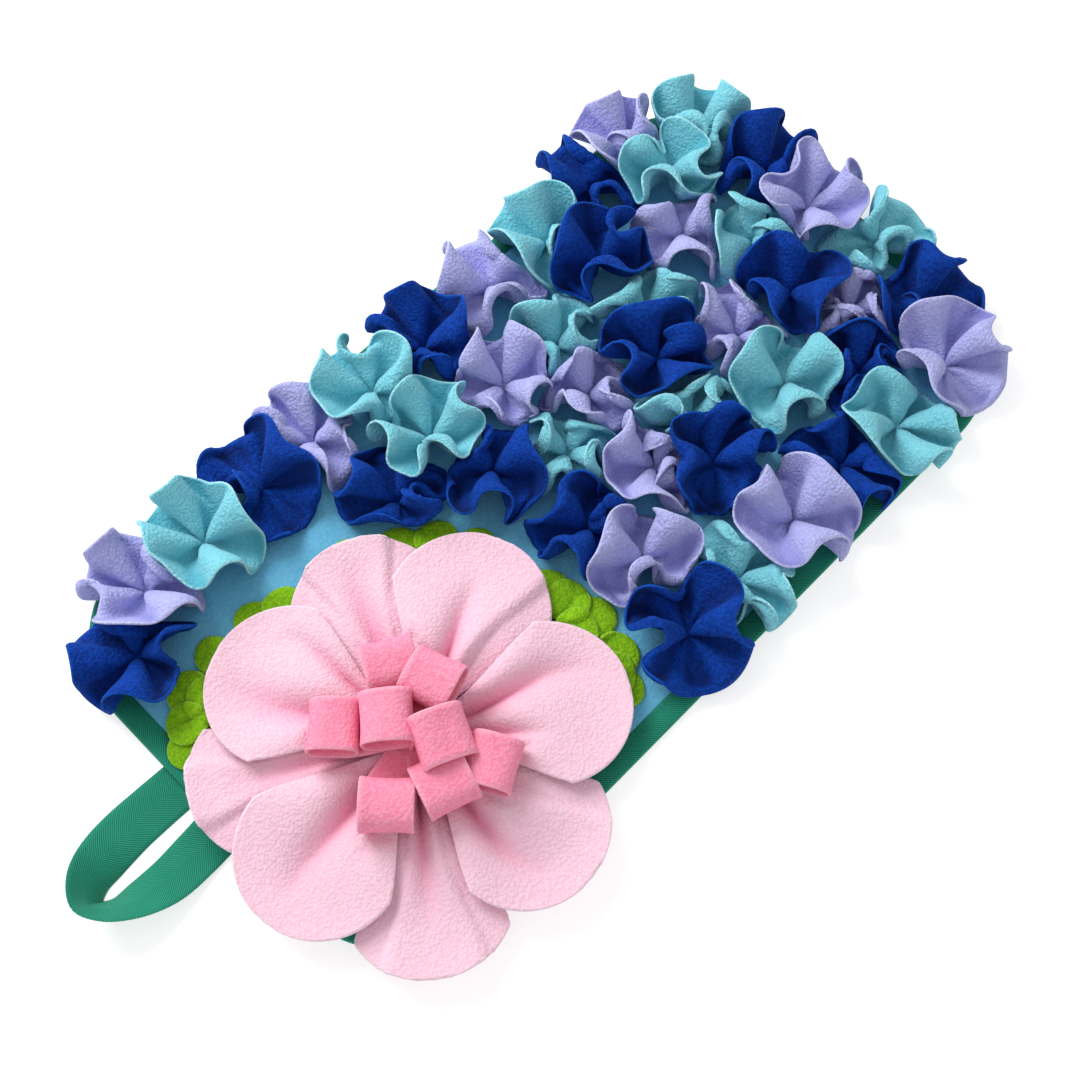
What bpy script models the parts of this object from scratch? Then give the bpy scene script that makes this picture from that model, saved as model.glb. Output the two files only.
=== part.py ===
"""Snuffle mat: a padded oblong fleece mat bound with twill tape, with a hanging loop at one
short edge, forty-five gathered fleece discs, and a large eight-petalled flower over green leaves.

Metres, +Z up. X runs across the mat, Y along it. The origin is the middle of the underside.
"""
import math
from collections import namedtuple

import bmesh
import bpy
import numpy as np
from mathutils import Matrix

MM = 0.001

# ---- mat, binding and hanging loop (millimetres)
MAT_WIDTH = 370.0
MAT_LENGTH = 680.0
MAT_CORNER = 92.0
BASE_THICK = 4.8
CORNER_STEPS = 5
TAPE_THICK = 1.1
TAPE_WIDTH = 35.0
BIND_WIDTH = 17.0
FIT_GAP = 0.3

# ---- fleece pieces (millimetres)
FLEECE_THICK = 2.4
CLEAR = 0.5
MAT_TOP = BASE_THICK
RUFFLE_STEPS = 16
RUFFLE_RINGS = (0, 3, 9, 16)
RING_THICK = (1.2, 1.8, 2.4, 2.4)
SPOKES = 24
PINCH_HEIGHT = MAT_TOP + FIT_GAP + 0.5 * RING_THICK[0]
RUFFLE_FLOOR = MAT_TOP + FIT_GAP + 0.5 * FLEECE_THICK
WALL_HEIGHT = MAT_TOP + 13.0
STEER_RANGE = 11.0
STEER_LIFT = 0.5
STEER_LEAST = 0.45
LEAN_LEAST = 14.0
LEAN_PER_RANK = 12.0
LEAN_MOST = 46.0
FLOWER_STEP = 2
PINCH_RISE = 45.0
PINCH_SPREAD = 0.3
STEEPEST = 60.0
RIM_BLEND = 1.2
CLAMP_ROUNDS = 12

# ---- flower (millimetres)
FLOWER_X = 66.0
FLOWER_Y = -205.0
PETAL_CENTRE = 98.0
PETAL_ROUND = 58.0
PETAL_ROWS = 8
PETAL_COLUMNS = 6
ROW_SPREAD = 0.8
TIP_CUT = 1.0
GROOVE_DEPTH = 19.0
GROOVE_LEVEL = 0.4
GROOVE_START = 0.12
GROOVE_END = 0.8
DISH_DEPTH = 9.0
DISH_START = 0.6
PETAL_SAG = 3.0
SEAM_INNER = 17.5
SEAM_SLOPE = 0.026
SEAM_LEAN = 75.0
FLOOR_START = 40.0
FLOOR_SPREAD = 20.0
PETAL_OVER_LEAF = 2.0
BED_RADIUS = 84.0
BED_RISE = 30.0
BED_TOP = 26.5
KNOT_RADIUS = 11.0
KNOT_TOP = 29.0
HEAD_RADIUS = 17.0
HEAD_TOP = 41.0
KNOT_SIDES = 16
ROOT_HALF = 4.0
PETAL_ROOT = KNOT_RADIUS + FIT_GAP
STRIP_WIDTH = 35.0
STRIP_THICK = 2.2
STRIP_STEPS = 10
STRIP_TAPER = 0.45
STRIP_START = 2.0
STRIP_HEIGHT = 26.0
STRIP_ROOT = 0.04
STRIP_ROOT_HALF = 8.0
STRIP_SPLIT = 2.0
STRIP_BELLY = 0.6
STRIP_NOSE = 8.0
LEAF_THICK = 2.4
LEAF_LAYER = 2.1
LEAF_TOP = MAT_TOP + FIT_GAP + 2.0 * LEAF_LAYER + LEAF_THICK
LEAF_SIDES = 8
LEAF_TURN = 0.07
LEAF_WAVE = 0.03
LEAF_WAVES = 3
SHARP_ANGLE = 40.0

# A form is the run of folds round a gathered disc. bearing is where a fold points, in degrees
# from the disc's own turn; lean is how steeply it leaves the stitch, and rim how steeply it ends.
Fold = namedtuple("Fold", "bearing lean rim")
FORMS = {
    "tri": (
        Fold(0, 16, -12), Fold(58, 50, 36), Fold(118, 18, -6),
        Fold(180, 52, 48), Fold(240, 14, -8), Fold(300, 50, 34),
    ),
    "fan": (
        Fold(-70, 14, -6), Fold(-30, 30, 4), Fold(8, 14, -14), Fold(46, 32, 6),
        Fold(86, 14, -8), Fold(134, 52, 50), Fold(186, 16, 4), Fold(234, 52, 44),
    ),
    "butterfly": (
        Fold(-40, 20, -6), Fold(0, 14, -12), Fold(40, 22, -4), Fold(90, 54, 46),
        Fold(138, 20, -4), Fold(180, 12, -10), Fold(224, 24, -2), Fold(270, 54, 50),
    ),
    "cup": (
        Fold(0, 22, 6), Fold(50, 48, 36), Fold(104, 22, 30), Fold(152, 54, 66),
        Fold(196, 26, 42), Fold(238, 54, 68), Fold(284, 22, 34), Fold(326, 46, 32),
    ),
    "rolled": (
        Fold(-50, 14, -10), Fold(12, 42, 14), Fold(74, 16, 14),
        Fold(136, 54, 66), Fold(192, 18, 38), Fold(250, 54, 62),
    ),
    "trefoil": (
        Fold(0, 16, -10), Fold(44, 46, 26), Fold(92, 14, -6), Fold(140, 52, 46),
        Fold(188, 16, -8), Fold(232, 46, 26), Fold(276, 16, 0), Fold(322, 52, 48),
    ),
    "pansy": (
        Fold(-50, 14, -8), Fold(-8, 34, 6), Fold(36, 14, -12), Fold(84, 48, 36),
        Fold(124, 14, 4), Fold(164, 54, 52), Fold(212, 14, -4), Fold(262, 52, 46),
    ),
}

# One row for each gathered disc: colour, place of its stitch, form, turn in degrees, hand
# (-1 mirrors the form), reach from stitch to rim, and rank (a higher rank lies over a lower).
Ruffle = namedtuple("Ruffle", "colour x y form turn hand reach rank")
RUFFLES = (
    Ruffle("lilac", -149, -266, "fan", 217, 1, 55, 3),
    Ruffle("navy", -115, -301, "pansy", 245, 1, 54, 2),
    Ruffle("aqua", -148, -212, "fan", 210, -1, 53, 4),
    Ruffle("navy", -151, -154, "butterfly", 178, 1, 55, 3),
    Ruffle("lilac", -152, -103, "fan", 180, 1, 53, 2),
    Ruffle("aqua", -151, -43, "fan", 188, -1, 52, 4),
    Ruffle("navy", -150, 10, "fan", 182, 1, 53, 3),
    Ruffle("lilac", -151, 81, "tri", 160, 1, 53, 2),
    Ruffle("aqua", -149, 141, "tri", 205, 1, 51, 3),
    Ruffle("aqua", -79, 83, "rolled", 275, 1, 50, 2),
    Ruffle("lilac", -84, 30, "trefoil", 235, 1, 53, 3),
    Ruffle("aqua", -92, -39, "pansy", 165, 1, 51, 5),
    Ruffle("navy", -72, -91, "trefoil", 65, 1, 53, 2),
    Ruffle("navy", -39, -26, "tri", 245, 1, 52, 3),
    Ruffle("aqua", -10, 24, "trefoil", 60, 1, 53, 2),
    Ruffle("lilac", -32, 68, "rolled", 145, 1, 51, 2),
    Ruffle("navy", -160, 202, "tri", 180, 1, 52, 2),
    Ruffle("lilac", -166, 250, "cup", 195, 1, 49, 3),
    Ruffle("aqua", -134, 300, "cup", 120, 1, 52, 3),
    Ruffle("aqua", -125, 254, "rolled", 165, 1, 50, 4),
    Ruffle("lilac", -77, 221, "tri", 135, 1, 53, 3),
    Ruffle("navy", -107, 159, "rolled", 195, 1, 52, 4),
    Ruffle("aqua", -51, 151, "pansy", 100, 1, 53, 3),
    Ruffle("navy", -18, 129, "trefoil", 115, 1, 54, 4),
    Ruffle("lilac", 12, 187, "trefoil", 65, -1, 53, 3),
    Ruffle("navy", -71, 312, "tri", 95, 1, 55, 3),
    Ruffle("lilac", -26, 313, "fan", 85, 1, 54, 4),
    Ruffle("aqua", -36, 258, "rolled", 245, 1, 53, 3),
    Ruffle("aqua", 34, 324, "butterfly", 75, 1, 52, 2),
    Ruffle("navy", 16, 243, "tri", 195, 1, 54, 4),
    Ruffle("lilac", 60, 262, "cup", 85, 1, 52, 2),
    Ruffle("navy", 97, 305, "butterfly", 30, 1, 55, 3),
    Ruffle("lilac", 141, 280, "butterfly", 168, 1, 55, 5),
    Ruffle("aqua", 148, 215, "fan", 357, 1, 55, 4),
    Ruffle("navy", 99, 229, "trefoil", 90, 1, 53, 3),
    Ruffle("aqua", 66, 181, "tri", 145, 1, 53, 4),
    Ruffle("navy", 139, 160, "fan", 7, 1, 55, 3),
    Ruffle("navy", 71, 95, "butterfly", 125, 1, 54, 4),
    Ruffle("lilac", 43, 62, "trefoil", 60, 1, 52, 3),
    Ruffle("aqua", 34, 109, "tri", 105, 1, 52, 3),
    Ruffle("navy", 42, -10, "tri", 245, 1, 53, 2),
    Ruffle("lilac", 88, 2, "tri", 150, -1, 52, 3),
    Ruffle("navy", 148, -16, "butterfly", 145, 1, 55, 4),
    Ruffle("aqua", 145, 39, "fan", 352, 1, 54, 2),
    Ruffle("lilac", 144, 102, "tri", 145, 1, 55, 4),
)

# One row for each petal: where it points, its length from the flower's middle, and its rank.
Petal = namedtuple("Petal", "bearing length rank")
PETALS = (
    Petal(155, 152, 1), Petal(113, 156, 2), Petal(58, 158, 3), Petal(6, 158, 2),
    Petal(-39, 165, 1), Petal(-82, 158, 3), Petal(-120, 158, 1), Petal(-156, 155, 2),
)


def ease(share):
    """A smooth step from 0 to 1."""
    share = np.clip(share, 0.0, 1.0)
    return share * share * (3.0 - 2.0 * share)


def fold_run(form, turn, hand, spokes):
    """Bearing, lean and rim angles of every spoke round a disc, in radians."""
    rows = np.radians(np.array(FORMS[form], dtype=float))
    per_fold = spokes // len(rows)
    following = np.roll(rows, -1, axis=0)
    following[-1, 0] += 2.0 * math.pi
    share = np.arange(per_fold)[None, :, None] / per_fold
    swing = rows[:, None, :1] + (following - rows)[:, None, :1] * share
    slopes = rows[:, None, 1:] + (following - rows)[:, None, 1:] * ease(share)
    run = np.concatenate((swing, slopes), axis=2).reshape(-1, 3)
    bearing = math.radians(turn) + hand * run[:, 0]
    if hand < 0:
        return bearing[::-1], run[::-1, 1], run[::-1, 2]
    return bearing, run[:, 1], run[:, 2]


Wall = namedtuple("Wall", "point out")


def leaning_wall(near, far, share, rank_step, height):
    """The plane that keeps one piece clear of its neighbour. It leans so that the piece of the
    higher rank reaches over the other one. Of two equal ranks, the one further along wins."""
    across = np.array((far[0] - near[0], far[1] - near[1]), dtype=float)
    across /= np.linalg.norm(across)
    over = rank_step if rank_step else -across[0] - across[1]
    lean = math.radians(min(LEAN_LEAST + LEAN_PER_RANK * abs(rank_step), LEAN_MOST))
    lean = math.copysign(lean, over)
    point = (near[0] + (far[0] - near[0]) * share, near[1] + (far[1] - near[1]) * share, height)
    out = (across[0] * math.cos(lean), across[1] * math.cos(lean), -math.sin(lean))
    return Wall(np.array(point), np.array(out))


def ruffle_walls(ruffle):
    """The walls round one gathered disc: one for each disc or petal within its reach."""
    walls = []
    near = (ruffle.x, ruffle.y)
    for other in RUFFLES:
        apart = math.hypot(other.x - ruffle.x, other.y - ruffle.y)
        if other is ruffle or apart > ruffle.reach + other.reach + FLEECE_THICK + CLEAR:
            continue
        share = ruffle.reach / (ruffle.reach + other.reach)
        step = ruffle.rank - other.rank
        walls.append(leaning_wall(near, (other.x, other.y), share, step, WALL_HEIGHT))
    for petal in PETALS:
        far = petal_middle(petal)
        apart = math.hypot(far[0] - near[0], far[1] - near[1])
        if apart > ruffle.reach + PETAL_ROUND + FLEECE_THICK + CLEAR:
            continue
        share = (apart - PETAL_ROUND) / apart
        walls.append(leaning_wall(near, far, share, -FLOWER_STEP, WALL_HEIGHT))
    for lobe in LEAF_LOBES:
        apart = math.hypot(lobe.x - ruffle.x, lobe.y - ruffle.y)
        if apart > ruffle.reach + lobe.radius + FLEECE_THICK + CLEAR:
            continue
        share = (apart - lobe.radius - CLEAR) / apart
        walls.append(leaning_wall(near, (lobe.x, lobe.y), share, FLOWER_STEP, LEAF_TOP))
    return walls


def petal_middle(petal):
    """The middle of a petal's round end."""
    bearing = math.radians(petal.bearing)
    return (
        FLOWER_X + PETAL_CENTRE * math.cos(bearing), FLOWER_Y + PETAL_CENTRE * math.sin(bearing))


def walk_spokes(ruffle, walls, spokes):
    """Walk every spoke of a disc outwards from the stitch, at a constant step. A spoke rises
    from the dimple, leans out, and turns up or down along a wall instead of crossing it."""
    bearing, lean, rim = fold_run(ruffle.form, ruffle.turn, ruffle.hand, spokes)
    points = np.zeros((RUFFLE_STEPS + 1, len(bearing), 3))
    points[0] = (ruffle.x, ruffle.y, PINCH_HEIGHT)
    step = ruffle.reach / RUFFLE_STEPS
    margin = (FLEECE_THICK + CLEAR) / 2.0
    for k in range(RUFFLE_STEPS):
        share = (k + 0.5) / RUFFLE_STEPS
        rise = math.radians(PINCH_RISE) * math.exp(-share / PINCH_SPREAD)
        slope = np.minimum(lean + (rim - lean) * share ** RIM_BLEND + rise, math.radians(STEEPEST))
        way = np.stack((
            np.cos(bearing) * np.cos(slope), np.sin(bearing) * np.cos(slope), np.sin(slope)), 1)
        for wall in walls:
            room = (wall.point - points[k]) @ wall.out - margin
            extra = np.maximum(way @ wall.out - room / STEER_RANGE, 0.0)
            way -= extra[:, None] * wall.out
            way[:, 2] += STEER_LIFT * extra * (1.0 if wall.out[2] <= 0.0 else 0.0)
        room = np.maximum(points[k][:, 2] - RUFFLE_FLOOR, 0.0)
        way[:, 2] = np.maximum(way[:, 2], -room / STEER_RANGE)
        way /= np.maximum(np.linalg.norm(way, axis=1), STEER_LEAST)[:, None]
        points[k + 1] = points[k] + way * step
    for _ in range(CLAMP_ROUNDS):
        for wall in walls:
            over = np.maximum((points - wall.point) @ wall.out + margin, 0.0)
            points -= over[..., None] * wall.out
        points[1:, :, 2] = np.maximum(points[1:, :, 2], RUFFLE_FLOOR)
    return points


def sheet_mesh(name, middle, half, closed):
    """A closed sheet from a grid of middle points, rows from the stitch outwards. With closed,
    the first row is one point and the columns run round it; otherwise the grid has four edges."""
    rows, columns = middle.shape[:2]
    if closed:
        along = np.roll(middle, -1, axis=1) - np.roll(middle, 1, axis=1)
    else:
        along = np.gradient(middle, axis=1)
    outward = np.gradient(middle, axis=0)
    normal = np.cross(outward, along)
    length = np.linalg.norm(normal, axis=2, keepdims=True)
    normal = normal / np.maximum(length, 1e-9)
    if closed:
        normal[0] = (0.0, 0.0, 1.0)
        half = np.broadcast_to(half[:, None], (rows, columns))
    top = middle + normal * half[..., None]
    bottom = middle - normal * half[..., None]
    mesh = bmesh.new()
    layers = []
    for layer in (top, bottom):
        grid = []
        for r in range(rows):
            if closed and r == 0:
                grid.append([mesh.verts.new(layer[0, 0] * MM)] * columns)
            else:
                grid.append([mesh.verts.new(p * MM) for p in layer[r]])
        layers.append(grid)
    last = columns if closed else columns - 1
    for grid, up in zip(layers, (True, False)):
        for r in range(rows - 1):
            for c in range(last):
                d = (c + 1) % columns
                ring = [grid[r][c], grid[r + 1][c], grid[r + 1][d], grid[r][d]]
                if ring[0] is ring[3]:
                    ring = ring[:3]
                mesh.faces.new(ring if up else ring[::-1])
    border = [(rows - 1, c) for c in range(columns)]
    if closed:
        border.append((rows - 1, 0))
    else:
        border += [(r, columns - 1) for r in range(rows - 2, -1, -1)]
        border += [(0, c) for c in range(columns - 2, -1, -1)]
        border += [(r, 0) for r in range(1, rows)]
    for (r, c), (s, d) in zip(border, border[1:]):
        mesh.faces.new((layers[0][r][c], layers[1][r][c], layers[1][s][d], layers[0][s][d]))
    bmesh.ops.triangulate(mesh, faces=mesh.faces[:])
    return finish_object(name, mesh)


def finish_object(name, mesh):
    data = bpy.data.meshes.new(name)
    mesh.to_mesh(data)
    mesh.free()
    data.shade_smooth()
    thing = bpy.data.objects.new(name, data)
    bpy.context.scene.collection.objects.link(thing)
    return thing


def make_ruffles():
    for number, ruffle in enumerate(RUFFLES, 1):
        points = walk_spokes(ruffle, ruffle_walls(ruffle), SPOKES)
        middle = points[list(RUFFLE_RINGS)]
        half = np.array(RING_THICK) / 2.0
        thing = sheet_mesh(f"ruffle_{number:02d}_{ruffle.colour}", middle, half, True)
        thing.data.materials.append(MATERIALS[ruffle.colour])


def petal_grid(petal):
    """Middle points of one petal, rows from its root at the knot to its round tip. u runs from
    root to tip and v from side to side."""
    along = np.linspace(0.0, 1.0, PETAL_ROWS) ** ROW_SPREAD
    across = np.linspace(-1.0, 1.0, PETAL_COLUMNS + 1)
    u, v = np.meshgrid(along, across, indexing="ij")
    reach = PETAL_ROOT + u * (petal.length - TIP_CUT - PETAL_ROOT)
    middle = petal.length - PETAL_ROUND
    taper = np.clip((reach - PETAL_ROOT) / (middle - PETAL_ROOT), 0.0, 1.0)
    narrow = ROOT_HALF + (PETAL_ROUND - ROOT_HALF) * np.sin(taper * math.pi / 2.0)
    past = np.maximum(reach - middle, 0.0)
    side = v * np.where(past > 0.0, np.sqrt(PETAL_ROUND ** 2 - past ** 2), narrow)
    fade = ease(1.0 - u / GROOVE_END) * ease(u / GROOVE_START)
    groove = GROOVE_DEPTH * (v * v - GROOVE_LEVEL) * fade
    dish = DISH_DEPTH * (np.hypot(reach - middle, side) / PETAL_ROUND) ** 2
    dish = dish * ease(u / DISH_START) - PETAL_SAG * ease(2.0 * u)
    height = SEAM_INNER + SEAM_SLOPE * reach + groove + dish
    bearing = math.radians(petal.bearing)
    ahead, beside = math.cos(bearing), math.sin(bearing)
    x = FLOWER_X + reach * ahead - side * beside
    y = FLOWER_Y + reach * beside + side * ahead
    return np.stack((x, y, height), 2)


def petal_height(middle):
    """Petal heights held between a floor, which rises over the leaves away from the knot, and a
    ceiling under the flower's centre."""
    reach = np.hypot(middle[..., 0] - FLOWER_X, middle[..., 1] - FLOWER_Y)
    low = MAT_TOP + FIT_GAP + FLEECE_THICK
    high = LEAF_TOP + PETAL_OVER_LEAF
    floor = low + (high - low) * ease((reach - FLOOR_START) / FLOOR_SPREAD)
    ceiling = BED_TOP - FLEECE_THICK / 2.0 + BED_RISE * ease(reach / BED_RADIUS - 1.0)
    return np.clip(middle[..., 2], floor, ceiling)


def petal_seams(number):
    """The planes between a petal and the two on either side. Each holds a line from the flower's
    middle outwards. Between neighbours it leans, so that the higher rank lies on top; between a
    petal and the next but one it stands upright."""
    petal = PETALS[number]
    seams = []
    for step in (-2, -1, 1, 2):
        other = PETALS[(number + step) % len(PETALS)]
        turn = (other.bearing - petal.bearing + 180.0) % 360.0 - 180.0
        middle = math.radians(petal.bearing + turn / 2.0)
        line = np.array((math.cos(middle), math.sin(middle), SEAM_SLOPE))
        sideways = np.array((-math.sin(middle), math.cos(middle), 0.0)) * math.copysign(1.0, turn)
        lean = 0.0
        if abs(step) == 1:
            lean = math.radians(SEAM_LEAN) * (1.0 if petal.rank > other.rank else -1.0)
        out = sideways * math.cos(lean) - np.array((0.0, 0.0, 1.0)) * math.sin(lean)
        out -= line * (out @ line) / (line @ line)
        point = np.array((FLOWER_X, FLOWER_Y, SEAM_INNER))
        seams.append(Wall(point, out / np.linalg.norm(out)))
    return seams


def make_petals():
    margin = (FLEECE_THICK + CLEAR) / 2.0
    for number, petal in enumerate(PETALS):
        middle = petal_grid(petal)
        walls = petal_seams(number)
        for ruffle in RUFFLES:
            far = (ruffle.x, ruffle.y)
            near = petal_middle(petal)
            apart = math.hypot(far[0] - near[0], far[1] - near[1])
            if apart < ruffle.reach + PETAL_ROUND + FLEECE_THICK + CLEAR:
                share = PETAL_ROUND / apart
                walls.append(leaning_wall(near, far, share, FLOWER_STEP, WALL_HEIGHT))
        for _ in range(CLAMP_ROUNDS):
            for wall in walls:
                over = np.maximum((middle - wall.point) @ wall.out + margin, 0.0)
                middle = middle - over[..., None] * wall.out
            middle[..., 2] = petal_height(middle)
        half = np.full(middle.shape[:2], FLEECE_THICK / 2.0)
        thing = sheet_mesh(f"petal_{number + 1}", middle, half, False)
        thing.data.materials.append(MATERIALS["pale_pink"])


# One row for each round lobe of the leaves: cluster, place, radius and layer, lowest first.
Lobe = namedtuple("Lobe", "cluster x y radius layer")
LEAF_LOBES = (
    Lobe("left", -50, -250, 27, 0), Lobe("left", -76, -226, 17, 1), Lobe("left", -71, -204, 16, 2),
    Lobe("left", -79, -263, 15, 1), Lobe("left", -70, -293, 17, 1), Lobe("left", -56, -285, 18, 2),
    Lobe("left", -54, -309, 16, 2), Lobe("left", -40, -318, 17, 1), Lobe("left", -38, -285, 24, 0),
    Lobe("top", -40, -122, 25, 0), Lobe("top", -66, -148, 16, 1), Lobe("top", -30, -92, 17, 1),
    Lobe("top", -6, -88, 20, 2), Lobe("top", -8, -72, 13, 1),
    Lobe("right", 96, -84, 25, 0), Lobe("right", 54, -62, 17, 1), Lobe("right", 70, -58, 17, 2),
    Lobe("right", 92, -54, 17, 1), Lobe("right", 90, -70, 17, 2), Lobe("right", 122, -62, 17, 1),
    Lobe("right", 130, -76, 17, 2), Lobe("right", 142, -80, 14, 1),
)


def leaf_lobe(lobe, number):
    """One round lobe: a low disc whose rim is a little waved."""
    mesh = bmesh.new()
    base = MAT_TOP + FIT_GAP + lobe.layer * LEAF_LAYER
    shift = LEAF_TURN * number
    rings = []
    for height in (base, base + LEAF_THICK):
        ring = []
        for k in range(LEAF_SIDES):
            angle = 2.0 * math.pi * (k + shift) / LEAF_SIDES
            reach = lobe.radius * (1.0 + LEAF_WAVE * math.sin(LEAF_WAVES * angle + number))
            ring.append(mesh.verts.new((
                (lobe.x + reach * math.cos(angle)) * MM,
                (lobe.y + reach * math.sin(angle)) * MM, height * MM)))
        rings.append(ring)
    mesh.faces.new(rings[0][::-1])
    mesh.faces.new(rings[1])
    for k in range(LEAF_SIDES):
        n = (k + 1) % LEAF_SIDES
        mesh.faces.new((rings[0][k], rings[0][n], rings[1][n], rings[1][k]))
    return finish_object(f"lobe_{number}", mesh)


def join_solids(name, solids):
    """Fuse closed solids into one body and name it."""
    body = solids[0]
    bpy.context.view_layer.objects.active = body
    for solid in solids[1:]:
        cut = body.modifiers.new("join", "BOOLEAN")
        cut.operation = "UNION"
        cut.solver = "EXACT"
        cut.object = solid
        bpy.context.view_layer.update()
        graph = bpy.context.evaluated_depsgraph_get()
        joined = bpy.data.meshes.new_from_object(body.evaluated_get(graph))
        body.modifiers.clear()
        old = body.data
        body.data = joined
        bpy.data.meshes.remove(old)
        bpy.data.objects.remove(solid)
    body.name = name
    body.data.name = name
    return body


def make_leaves():
    for cluster in ("left", "top", "right"):
        lobes = [lobe for lobe in LEAF_LOBES if lobe.cluster == cluster]
        solids = [leaf_lobe(lobe, k) for k, lobe in enumerate(lobes)]
        thing = join_solids(f"leaves_{cluster}", solids)
        thing.data.materials.clear()
        thing.data.materials.append(MATERIALS["leaf"])


# One row for each strip loop of the flower's centre: where it points, its length from the knot,
# how steeply it stands, how far it bulges, and how far its open sides are turned.
Loop = namedtuple("Loop", "bearing length tilt bulge turn")
CENTRE_LOOPS = (
    Loop(156, 62, 20, 15, 0), Loop(112, 54, 32, 15, 8), Loop(224, 68, 14, 15, 4),
    Loop(205, 42, 46, 16, 14), Loop(28, 42, 50, 16, -12), Loop(20, 74, 12, 14, 0),
    Loop(-10, 58, 30, 15, -22), Loop(-62, 70, 14, 15, 14),
)


def strip_loop(loop, number):
    """One folded strip: it leaves the knot, bulges outwards below, and comes back above."""
    share = np.sin(np.linspace(0.0, math.pi, STRIP_STEPS + 1))
    share[[0, -1]] = STRIP_ROOT
    above = np.linspace(-1.0, 1.0, STRIP_STEPS + 1)
    nose = np.sqrt(1.0 - share ** STRIP_NOSE)
    bulge = loop.bulge * np.sign(above) * share ** STRIP_BELLY * nose
    bulge[[0, -1]] = -STRIP_SPLIT, STRIP_SPLIT
    tilt = math.radians(loop.tilt)
    out = STRIP_START + share * loop.length * math.cos(tilt) - bulge * math.sin(tilt)
    height = STRIP_HEIGHT + share * loop.length * math.sin(tilt) + bulge * math.cos(tilt)
    rest = BED_TOP + FIT_GAP + CLEAR + STRIP_THICK / 2.0
    path = np.stack((out, np.maximum(height, rest)), 1)
    bearing = math.radians(loop.bearing)
    face = bearing + math.radians(loop.turn)
    way = np.gradient(path, axis=0)
    way /= np.linalg.norm(way, axis=1)[:, None]
    normal = np.stack((-way[:, 1], way[:, 0]), 1)
    mesh = bmesh.new()
    rings = []
    for k in range(STRIP_STEPS + 1):
        widen = float(ease(share[k] / STRIP_TAPER))
        half = STRIP_ROOT_HALF + (STRIP_WIDTH / 2.0 - STRIP_ROOT_HALF) * widen
        ring = []
        for side, skin in ((-1, -1), (1, -1), (1, 1), (-1, 1)):
            reach, z = path[k] + normal[k] * skin * STRIP_THICK / 2.0
            x = FLOWER_X + reach * math.cos(bearing) - side * half * math.sin(face)
            y = FLOWER_Y + reach * math.sin(bearing) + side * half * math.cos(face)
            ring.append(mesh.verts.new((x * MM, y * MM, z * MM)))
        rings.append(ring)
    for near, far in zip(rings, rings[1:]):
        for c in range(4):
            d = (c + 1) % 4
            mesh.faces.new((near[c], near[d], far[d], far[c]))
    mesh.faces.new(rings[0][::-1])
    mesh.faces.new(rings[-1])
    bmesh.ops.recalc_face_normals(mesh, faces=mesh.faces[:])
    return finish_object(f"strip_{number}", mesh)


def round_post(name, low_radius, high_radius, low, high):
    """A round post, or a cone cut short, on the flower's axis."""
    mesh = bmesh.new()
    matrix = Matrix.Translation((FLOWER_X * MM, FLOWER_Y * MM, (low + high) / 2.0 * MM))
    bmesh.ops.create_cone(
        mesh, cap_ends=True, segments=KNOT_SIDES, radius1=low_radius * MM,
        radius2=high_radius * MM, depth=(high - low) * MM, matrix=matrix)
    return finish_object(name, mesh)


def make_flower_centre():
    solids = [
        round_post("stem", KNOT_RADIUS, KNOT_RADIUS, MAT_TOP + FIT_GAP, KNOT_TOP),
        round_post("head", HEAD_RADIUS, KNOT_RADIUS, BED_TOP + FIT_GAP, HEAD_TOP)]
    solids += [strip_loop(loop, k) for k, loop in enumerate(CENTRE_LOOPS)]
    thing = join_solids("flower_centre", solids)
    thing.data.materials.clear()
    thing.data.materials.append(MATERIALS["rose"])


def rounded_outline(inset):
    """Corner-rounded oblong, anticlockwise, drawn in from the mat's outer edge by inset."""
    radius = MAT_CORNER - inset
    points = []
    for quarter, (sx, sy) in enumerate(((1, 1), (-1, 1), (-1, -1), (1, -1))):
        for k in range(CORNER_STEPS + 1):
            angle = math.pi / 2.0 * (quarter + k / CORNER_STEPS)
            x = sx * (MAT_WIDTH / 2.0 - MAT_CORNER) + radius * math.cos(angle)
            y = sy * (MAT_LENGTH / 2.0 - MAT_CORNER) + radius * math.sin(angle)
            points.append((x, y))
    return points


def outline_body(name, section, capped):
    """A body whose section of (inset, height) corners runs round the mat's outline. Capped
    bodies are closed across their first and last corner; others close the section on itself."""
    mesh = bmesh.new()
    rings = []
    for inset, height in section:
        outline = rounded_outline(inset)
        rings.append([mesh.verts.new((x * MM, y * MM, height * MM)) for x, y in outline])
    count = len(rings[0])
    pairs = list(zip(rings, rings[1:]))
    if not capped:
        pairs.append((rings[-1], rings[0]))
    for low, high in pairs:
        for k in range(count):
            n = (k + 1) % count
            mesh.faces.new((low[k], low[n], high[n], high[k]))
    if capped:
        mesh.faces.new(rings[0][::-1])
        mesh.faces.new(rings[-1])
    bmesh.ops.recalc_face_normals(mesh, faces=mesh.faces[:])
    thing = finish_object(name, mesh)
    thing.data.set_sharp_from_angle(angle=math.radians(SHARP_ANGLE))
    return thing


def make_mat():
    step = TAPE_THICK + FIT_GAP
    seam = BIND_WIDTH + FIT_GAP
    pad = outline_body("base_pad", (
        (seam, 0.0), (seam, step), (step, step), (step, BASE_THICK - step),
        (seam, BASE_THICK - step), (seam, BASE_THICK)), True)
    pad.data.materials.append(MATERIALS["sky"])
    fold = outline_body("edge_binding", (
        (BIND_WIDTH, 0.0), (0.0, 0.0), (0.0, BASE_THICK), (BIND_WIDTH, BASE_THICK),
        (BIND_WIDTH, BASE_THICK - TAPE_THICK), (TAPE_THICK, BASE_THICK - TAPE_THICK),
        (TAPE_THICK, TAPE_THICK), (BIND_WIDTH, TAPE_THICK)), False)
    fold.data.materials.append(MATERIALS["tape"])


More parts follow.
